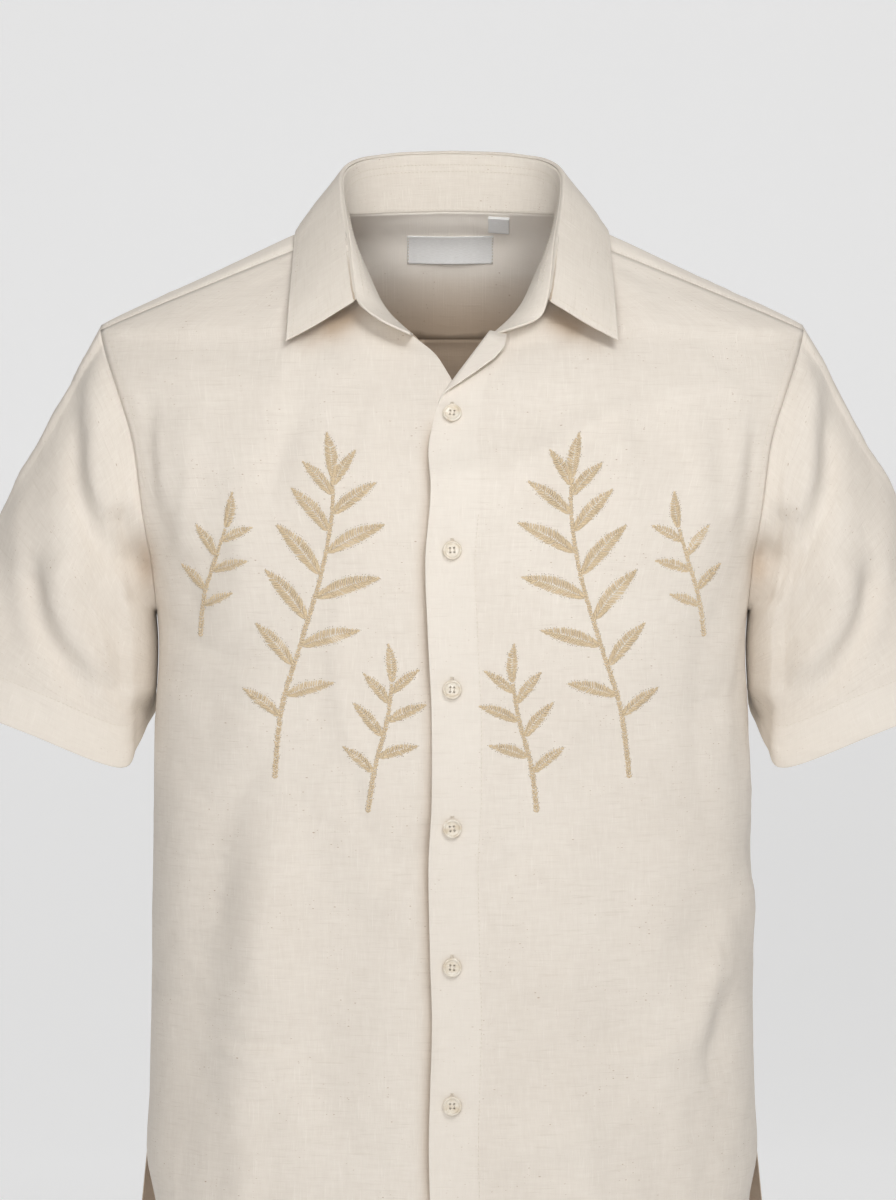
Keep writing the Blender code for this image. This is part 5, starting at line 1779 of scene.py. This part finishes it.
# Sprays on the wearer's left; the right side mirrors them with small changes: points of the stem
# as x, z from its foot, then its leaves: share along the stem, side, length, angle to the stem
TALL_STEM = (
    (0.118, -0.396), (0.112, -0.35), (0.098, -0.305), (0.085, -0.26),
    (0.079, -0.22), (0.08, -0.196),
)
TALL_LEAVES = (
    (0.2, 1, 0.03, 52), (0.27, -1, 0.033, 50), (0.37, 1, 0.037, 50), (0.44, -1, 0.04, 48),
    (0.53, 1, 0.043, 48), (0.6, -1, 0.044, 46), (0.68, 1, 0.044, 45), (0.75, -1, 0.042, 43),
    (0.82, 1, 0.038, 40), (0.88, -1, 0.035, 37), (0.94, 1, 0.03, 30), (0.97, -1, 0.028, 26),
    (1.0, 1, 0.031, -4),
)
LOW_STEM = ((0.056, -0.418), (0.052, -0.386), (0.044, -0.356), (0.04, -0.333))
LOW_LEAVES = (
    (0.3, 1, 0.026, 50), (0.42, -1, 0.027, 50), (0.58, 1, 0.029, 46), (0.7, -1, 0.028, 44),
    (0.84, 1, 0.026, 38), (0.92, -1, 0.024, 34), (1.0, 1, 0.026, 2),
)
SIDE_STEM = ((0.17, -0.302), (0.166, -0.276), (0.158, -0.25), (0.152, -0.23))
SIDE_LEAVES = (
    (0.28, -1, 0.022, 50), (0.42, 1, 0.024, 48), (0.6, -1, 0.025, 46), (0.74, 1, 0.025, 42),
    (0.88, -1, 0.023, 36), (1.0, 1, 0.025, 0),
)


def turned(way, degrees):
    """A direction of the flat, turned clockwise."""
    a = math.radians(degrees)
    return np.array([
        way[0] * math.cos(a) + way[1] * math.sin(a), way[1] * math.cos(a) - way[0] * math.sin(a)
    ])


def leaf_stitches(foot, way, length, droop):
    """Flat stitches of one leaf: start and end points."""
    across = crosswise(way)
    starts, ends = [], []
    count = int(length / LEAF_STEP)
    half = 0.115 * length + 0.001

    def vein(share):
        return foot + way * length * share + across * droop * length * share**2

    for k in range(1, count):
        share = k / count
        wide = half * math.sin(math.pi * min(share * 0.92 + 0.1, 1.0)) ** 0.75
        lean = 0.2 * length * (1 - 0.5 * share) * 0.55
        for side in (-1, 1):
            inner = vein(share) - across * side * 0.00035
            outer = vein(share) + way * lean + across * (side * wide + 2 * droop * lean * share)
            starts.append(inner)
            ends.append(outer)
    starts.append(vein(0.96))
    ends.append(vein(1.04))
    return starts, ends


def stem_stitches(line, foot_thick, tip_thick):
    """Two slanted rows that meet on the stem's middle."""
    count = int(run_of(line)[-1] / STEM_STEP)
    points = resample(line, count)
    starts, ends = [], []
    for k in range(count):
        way = unit(points[k + 1] - points[k])
        across = crosswise(way)
        wide = foot_thick + (tip_thick - foot_thick) * k / count
        for side in (-1, 1):
            starts.append(points[k] - across * side * 0.0002)
            ends.append(points[k] + way * STEM_STITCH + across * side * wide)
    return starts, ends


def spray(stem, leaves, side, sway):
    """Flat stitches of a stem and its leaves; sway bends the stem to one side."""
    line = smooth_line(stem, 160)
    line[:, 0] += sway * np.sin(np.linspace(0, math.pi, len(line)))
    starts, ends = stem_stitches(line, 0.0019, 0.0011)
    for share, hand, length, angle in leaves:
        k = min(int(share * (len(line) - 1)), len(line) - 2)
        way = turned(unit(line[k + 1] - line[k]), hand * angle)
        found = leaf_stitches(line[k], way, length, LEAF_DROOP * hand)
        starts += found[0]
        ends += found[1]
    starts, ends = np.array(starts), np.array(ends)
    starts[:, 0] *= side
    ends[:, 0] *= side
    return starts, ends


SPRAYS = (
    (TALL_STEM, TALL_LEAVES, 1, 0.0), (LOW_STEM, LOW_LEAVES, 1, 0.0),
    (SIDE_STEM, SIDE_LEAVES, 1, 0.0), (TALL_STEM, TALL_LEAVES, -1, 0.0022),
    (LOW_STEM, LOW_LEAVES, -1, -0.0015), (SIDE_STEM, SIDE_LEAVES, -1, 0.0015),
)
dice = np.random.default_rng(41)
worked, holes = [], []
for stem, leaves, side, sway in SPRAYS:
    flat_start, flat_end = spray(stem, leaves, side, sway)
    flat_start = flat_start + dice.normal(0, 0.00012, flat_start.shape)
    flat_end = flat_end + dice.normal(0, 0.00022, flat_end.shape)
    start, start_normal = dropped(flat_start)
    end, end_normal = dropped(flat_end)
    normal = unit(start_normal + end_normal)
    worked.append(lozenges(start, end, normal, THREAD_WIDTH, THREAD_HEIGHT, 0.0001))
    way = unit(end - start)
    pick = dice.random(len(end)) < 0.55
    spot = (end + way * 0.00015)[pick]
    holes.append(lozenges(spot, spot + way[pick] * 0.0006, end_normal[pick], 0.0006, 0.00012))
wear(join_stitches("embroidered_sprays", worked, STRAW), "trim")
# Needle holes as small dark marks: painted shade
wear(join_stitches("needle_holes", holes, NEEDLE_HOLE_SHADE), "linen")

# %% [markdown]
# A shirt button is turned from a disc: a raised rim, a shallow dish and four holes. A lathe profile
# gives the rim, and the dish with its holes is a triangulated plane between closed loops. Thread
# bars through the holes hold it.

# %% Buttons
BUTTON_TURNS = (-7, 4, -3, 6, -5, 2)
HOLE_PLACE = 0.00135
HOLE_RADIUS = 0.0008
RIM_WIDTH = 0.0021
DISH_DEPTH = 0.0009
BUTTON_GAP = 0.00035
EDGE_ANGLE = 50


def button_mesh():
    """Four hole button lying in its own plane, face up: dished disc with a rim."""
    turns = 48
    hole_turns = 12
    steps = [2 * math.pi * k / turns for k in range(turns)]
    ring = [(math.cos(a), math.sin(a)) for a in steps]
    dish = BUTTON_RADIUS - RIM_WIDTH
    flat = [(dish * x, dish * y) for x, y in ring]
    loops = [list(range(turns))]
    for sx, sy in ((1, 1), (-1, 1), (-1, -1), (1, -1)):
        first = len(flat)
        for k in range(hole_turns):
            a = -2 * math.pi * k / hole_turns
            flat.append((
                sx * HOLE_PLACE + HOLE_RADIUS * math.cos(a), sy * HOLE_PLACE + HOLE_RADIUS * math.sin(a)
            ))
        loops.append(list(range(first, first + hole_turns)))
    result = delaunay_2d_cdt([Vector(p) for p in flat], [], loops, 0, 1e-7)
    cells = []
    for face in result[2]:
        x = sum(result[0][k][0] for k in face) / len(face)
        y = sum(result[0][k][1] for k in face) / len(face)
        if math.hypot(abs(x) - HOLE_PLACE, abs(y) - HOLE_PLACE) > HOLE_RADIUS * 0.8:
            cells.append(tuple(face))
    count = len(flat)
    verts = [(x, y, BUTTON_THICK - DISH_DEPTH) for x, y in flat] + [(x, y, 0.0) for x, y in flat]
    faces = list(cells) + [tuple(reversed([k + count for k in face])) for face in cells]
    for loop in loops[1:]:
        for k, a in enumerate(loop):
            b = loop[(k + 1) % len(loop)]
            faces.append((b, a, a + count, b + count))
    profile = (
        (dish + 0.00035, BUTTON_THICK - 0.00075), (dish + 0.00065, BUTTON_THICK - 0.00025),
        (dish + 0.0011, BUTTON_THICK), (BUTTON_RADIUS - 0.00045, BUTTON_THICK - 0.00008),
        (BUTTON_RADIUS - 0.0001, BUTTON_THICK - 0.0005), (BUTTON_RADIUS, BUTTON_THICK - 0.0011),
        (BUTTON_RADIUS - 0.00025, 0.0006), (BUTTON_RADIUS - 0.0009, 0.0),
    )
    # Each circle of the rim is joined to the one before it, and the last to the underside
    circles = [0]
    for radius, level in profile:
        circles.append(len(verts))
        verts += [(radius * x, radius * y, level) for x, y in ring]
    circles.append(count)
    for one, two in zip(circles, circles[1:]):
        for k in range(turns):
            n = (k + 1) % turns
            faces.append((one + k, two + k, two + n, one + n))
    return np.array(verts), faces


def button_plane(z):
    """Centre, across, up and out of a button on the lap."""
    span = 0.008
    slope = (surface_y(0.0, z + span, -1) - surface_y(0.0, z - span, -1)) / (2 * span)
    up = unit(np.array([0.0, slope, 1.0]))
    out = np.array([0.0, -up[2], up[1]])
    place, _ = dropped([(0.0, z)])
    return place[0] + out * BUTTON_GAP, np.array([1.0, 0.0, 0.0]), up, out


def shell_finish():
    """Pale shell: cream with soft cloudy layers and a quiet gloss."""
    material, shader, start = new_material(
        "button_shell", (0.8, 0.74, 0.65), 0.34, Coat_Weight=0.25, Coat_Roughness=0.2
    )
    place = start.node("ShaderNodeTexCoord", out=3)
    cloud = place.scaled((120, 120, 260)).noise(1.0, 3.0, 0.55)
    colour = cloud.over(0.3, 0.72).blend((0.7, 0.6, 0.46, 1), (0.84, 0.78, 0.68, 1))
    feed(shader, "Base Color", colour)
    feed(shader, "Roughness", cloud * 0.18 + 0.26)
    return material


BUTTON = shell_finish()
button_verts, button_faces = button_mesh()
holders = []
for number, (level, degrees) in enumerate(zip(BUTTON_LEVELS, BUTTON_TURNS), 1):
    centre, across, up, out = button_plane(level)
    turn = math.radians(degrees)
    one = across * math.cos(turn) + up * math.sin(turn)
    two = up * math.cos(turn) - across * math.sin(turn)
    verts = centre + button_verts[:, :1] * one + button_verts[:, 1:2] * two + button_verts[:, 2:] * out
    button = plain_object(f"shell_button_{number}", verts, button_faces, BUTTON)
    button.modifiers.new("edge", "EDGE_SPLIT").split_angle = math.radians(EDGE_ANGLE)
    wear(button, "button", f"button_{number}")
    base = centre + out * (BUTTON_THICK - 0.00085)
    for side in (-1, 1):
        for shift in (-0.0003, 0.0003):
            middle = base + one * (side * HOLE_PLACE + shift)
            holders.append(lozenges(
                (middle - two * 0.0019)[None], (middle + two * 0.0019)[None], out[None],
                0.0005, 0.0004, 0.0006,
            ))
wear(join_stitches("button_thread", holders, THREAD), "button")

# %% [markdown]
# A buttonhole is a slit between two packed rows of tiny stitches with a bar at each end. It runs
# down the lap, so most of it hides under the button and its upper end shows.

# %% Buttonholes
HOLE_LENGTH = 0.013
HOLE_WIDTH = 0.0013
HOLE_RISE = 0.0013
HOLE_STEP = 0.00045


def buttonhole(centre, way, length, width):
    """Flat stitches round a slit."""
    across = crosswise(way)
    starts, ends = [], []
    count = int(length / HOLE_STEP)
    for k in range(count + 1):
        middle = centre + way * length * (k / count - 0.5)
        for side in (-1, 1):
            starts.append(middle + across * side * 0.0002)
            ends.append(middle + across * side * width)
    for end in (-0.5, 0.5):
        for k in range(3):
            middle = centre + way * (length * end + (k - 1) * 0.0004)
            starts.append(middle - across * width * 1.1)
            ends.append(middle + across * width * 1.1)
    return np.array(starts), np.array(ends)


hole_rows = []
for level in BUTTON_LEVELS:
    middle = np.array([0.0, level + HOLE_RISE])
    flat_start, flat_end = buttonhole(middle, np.array([0.0, 1.0]), HOLE_LENGTH, HOLE_WIDTH)
    start, start_normal = dropped(flat_start)
    end, end_normal = dropped(flat_end)
    hole_rows.append(lozenges(start, end, start_normal, 0.00045, 0.0003))
wear(join_stitches("buttonhole_stitches", hole_rows, THREAD), "linen")

# %% [markdown]
# Inside the back of the neck sit a plain woven label, bare here, and a folded tape for the size.
# The label is a thin grid laid on the yoke, sewn at both short ends, with its lower edge a little
# off the cloth. The tape hangs as a flattened loop from the neck seam.

# %% Label and tape
LABEL_SIZE = (0.062, 0.019)
LABEL_TOP_Z = -0.0152
LABEL_MIDDLE_X = -0.0012
TAB_SIZE = (0.015, 0.0115)
TAB_CORNER = (0.0262, -0.0022)
TAB_ROWS = 24
TAB_COLUMNS = 12
TRIM_CENTRE = (0.0, 1.0, -0.05)


def tape_finish(name, colour, second, scale):
    """Satin tape: fine ribs across and a soft sheen."""
    material, shader, start = new_material(name, colour, 0.55, Sheen_Weight=0.2)
    cloth = start.node("ShaderNodeAttribute", {"attribute_name": "cloth"}, out=1)
    rib = cloth.scaled((300, scale, 1)).noise(1.0, 2.0, 0.6)
    feed(shader, "Base Color", rib.over(0.25, 0.75).blend((*second, 1), (*colour, 1)))
    bumped(shader, rib, 0.00012, 0.7)
    return material


LABEL = tape_finish("label_satin", (0.93, 0.93, 0.92), (0.83, 0.825, 0.81), 2600)
TAPE = tape_finish("size_tape", (0.95, 0.95, 0.94), (0.88, 0.88, 0.87), 2200)
INNER_TREE = search_tree((yoke_piece, back_piece))


def inner_spot(x, z):
    """Point on the inner face of the yoke or back behind x, z and its normal to the inside."""
    place, normal = INNER_TREE.ray_cast(Vector((x, SIDE_Y, z)), Vector((0, 1, 0)))[:2]
    return np.array(place), np.array(normal if normal.y < 0 else -normal)


def laid_trim(low, high, steps, lift):
    """Grid on the inside of the yoke; lift gives the distance off it from shares across and up."""
    points = np.zeros((steps[1] + 1, steps[0] + 1, 3))
    for i, z in enumerate(np.linspace(low[1], high[1], steps[1] + 1)):
        for j, x in enumerate(np.linspace(low[0], high[0], steps[0] + 1)):
            place, normal = inner_spot(x, z)
            points[i, j] = place + normal * lift(j / steps[0], i / steps[1])
    return points


def label_lift(u, v):
    """The label bows off the yoke between its sewn ends, most at its lower edge."""
    return 0.0008 + 0.0012 * math.sin(math.pi * u) ** 2 * (0.35 + (1 - v) ** 2)


label_low = (LABEL_MIDDLE_X - LABEL_SIZE[0] / 2, LABEL_TOP_Z - LABEL_SIZE[1])
label_high = (LABEL_MIDDLE_X + LABEL_SIZE[0] / 2, LABEL_TOP_Z)
label_points = laid_trim(label_low, label_high, (48, 16), label_lift)
label = Panel("woven_label", label_points, TRIM_CENTRE, thick=0.0006,
              free=("low", "high", "first", "last"))
label_piece = wear(label.build(LABEL), "trim", "neck_label")


def tape_loop():
    """Tape hanging from the neck seam and folded back up behind itself."""
    high = TAB_CORNER[1]
    # Down in front, round the fold and up behind: level and distance off the yoke of each row
    rows = []
    for k in range(TAB_ROWS + 1):
        share = k / TAB_ROWS
        if share < 0.45:
            drop, off = share / 0.45, 0.0021
        elif share < 0.55:
            turn = (share - 0.45) / 0.1 * math.pi
            drop, off = 1 + 0.05 * math.sin(turn), 0.00145 + 0.00065 * math.cos(turn)
        else:
            drop, off = (1 - share) / 0.45, 0.0008
        rows.append((high - 0.8 * TAB_SIZE[1] * drop, off))
    points = np.zeros((TAB_ROWS + 1, TAB_COLUMNS + 1, 3))
    for i, (z, off) in enumerate(rows):
        for j in range(TAB_COLUMNS + 1):
            x = TAB_CORNER[0] + TAB_SIZE[0] * j / TAB_COLUMNS
            place, normal = inner_spot(x, z - 0.0006 - 0.0014 * j / TAB_COLUMNS)
            points[i, j] = place + normal * off
    return points


tape = Panel("size_tape", tape_loop(), TRIM_CENTRE, thick=0.0005, free=("first", "last"))
tape_piece = wear(tape.build(TAPE), "trim", "size_tab")

label_rows = [
    seam_row(label.line(edge, 0.0006), 0.0024, 0.75, 0.0007, 0.0004) for edge in ("first", "last")
]
wear(join_stitches("label_stitches", label_rows, THREAD), "linen")

# %% [markdown]
# For each panel the size it was cut to is printed. The flat size comes
# from lengths measured on the panel itself, across its widest place and along its longest line, and
# the area from its grid.

# %% Sheets


def flat_size(panel):
    """Longest row, longest column and area of a panel, in metres."""
    points = panel.points
    if panel.wrap:
        points = np.concatenate([points, points[:, :1]], 1)
    width = np.linalg.norm(np.diff(points, axis=1), axis=2).sum(1).max()
    length = np.linalg.norm(np.diff(points, axis=0), axis=2).sum(0).max()
    normal = np.cross(points[1:, 1:] - points[:-1, :-1], points[1:, :-1] - points[:-1, 1:])
    area = np.linalg.norm(normal, axis=2).sum() / 2
    return float(width), float(length), float(min(area, width * length))


SHEETS = (
    (left, left_piece, "hung", ["yoke_cloth"]),
    (right, right_piece, "hung", ["yoke_cloth"]),
    (back, back_piece, "hung", ["yoke_cloth"]),
    (yoke, yoke_piece, "draped", ["collar_stand_cloth"]),
    (left_sleeve, left_sleeve_piece, "hung", ["left_front_cloth", "yoke_cloth"]),
    (right_sleeve, right_sleeve_piece, "hung", ["right_front_cloth", "yoke_cloth"]),
    (stand, stand_piece, "folded", ["yoke_cloth"]),
    (leaf, leaf_piece, "folded", ["collar_stand_cloth"]),
    (label, label_piece, "hung", ["yoke_cloth"]),
    (tape, tape_piece, "folded", ["yoke_cloth"]),
)
for panel, piece, held, rests_on in SHEETS:
    width, length, area = flat_size(panel)
    print(panel.name, "cut", round(width, 3), "x", round(length, 3), "area", round(area, 4))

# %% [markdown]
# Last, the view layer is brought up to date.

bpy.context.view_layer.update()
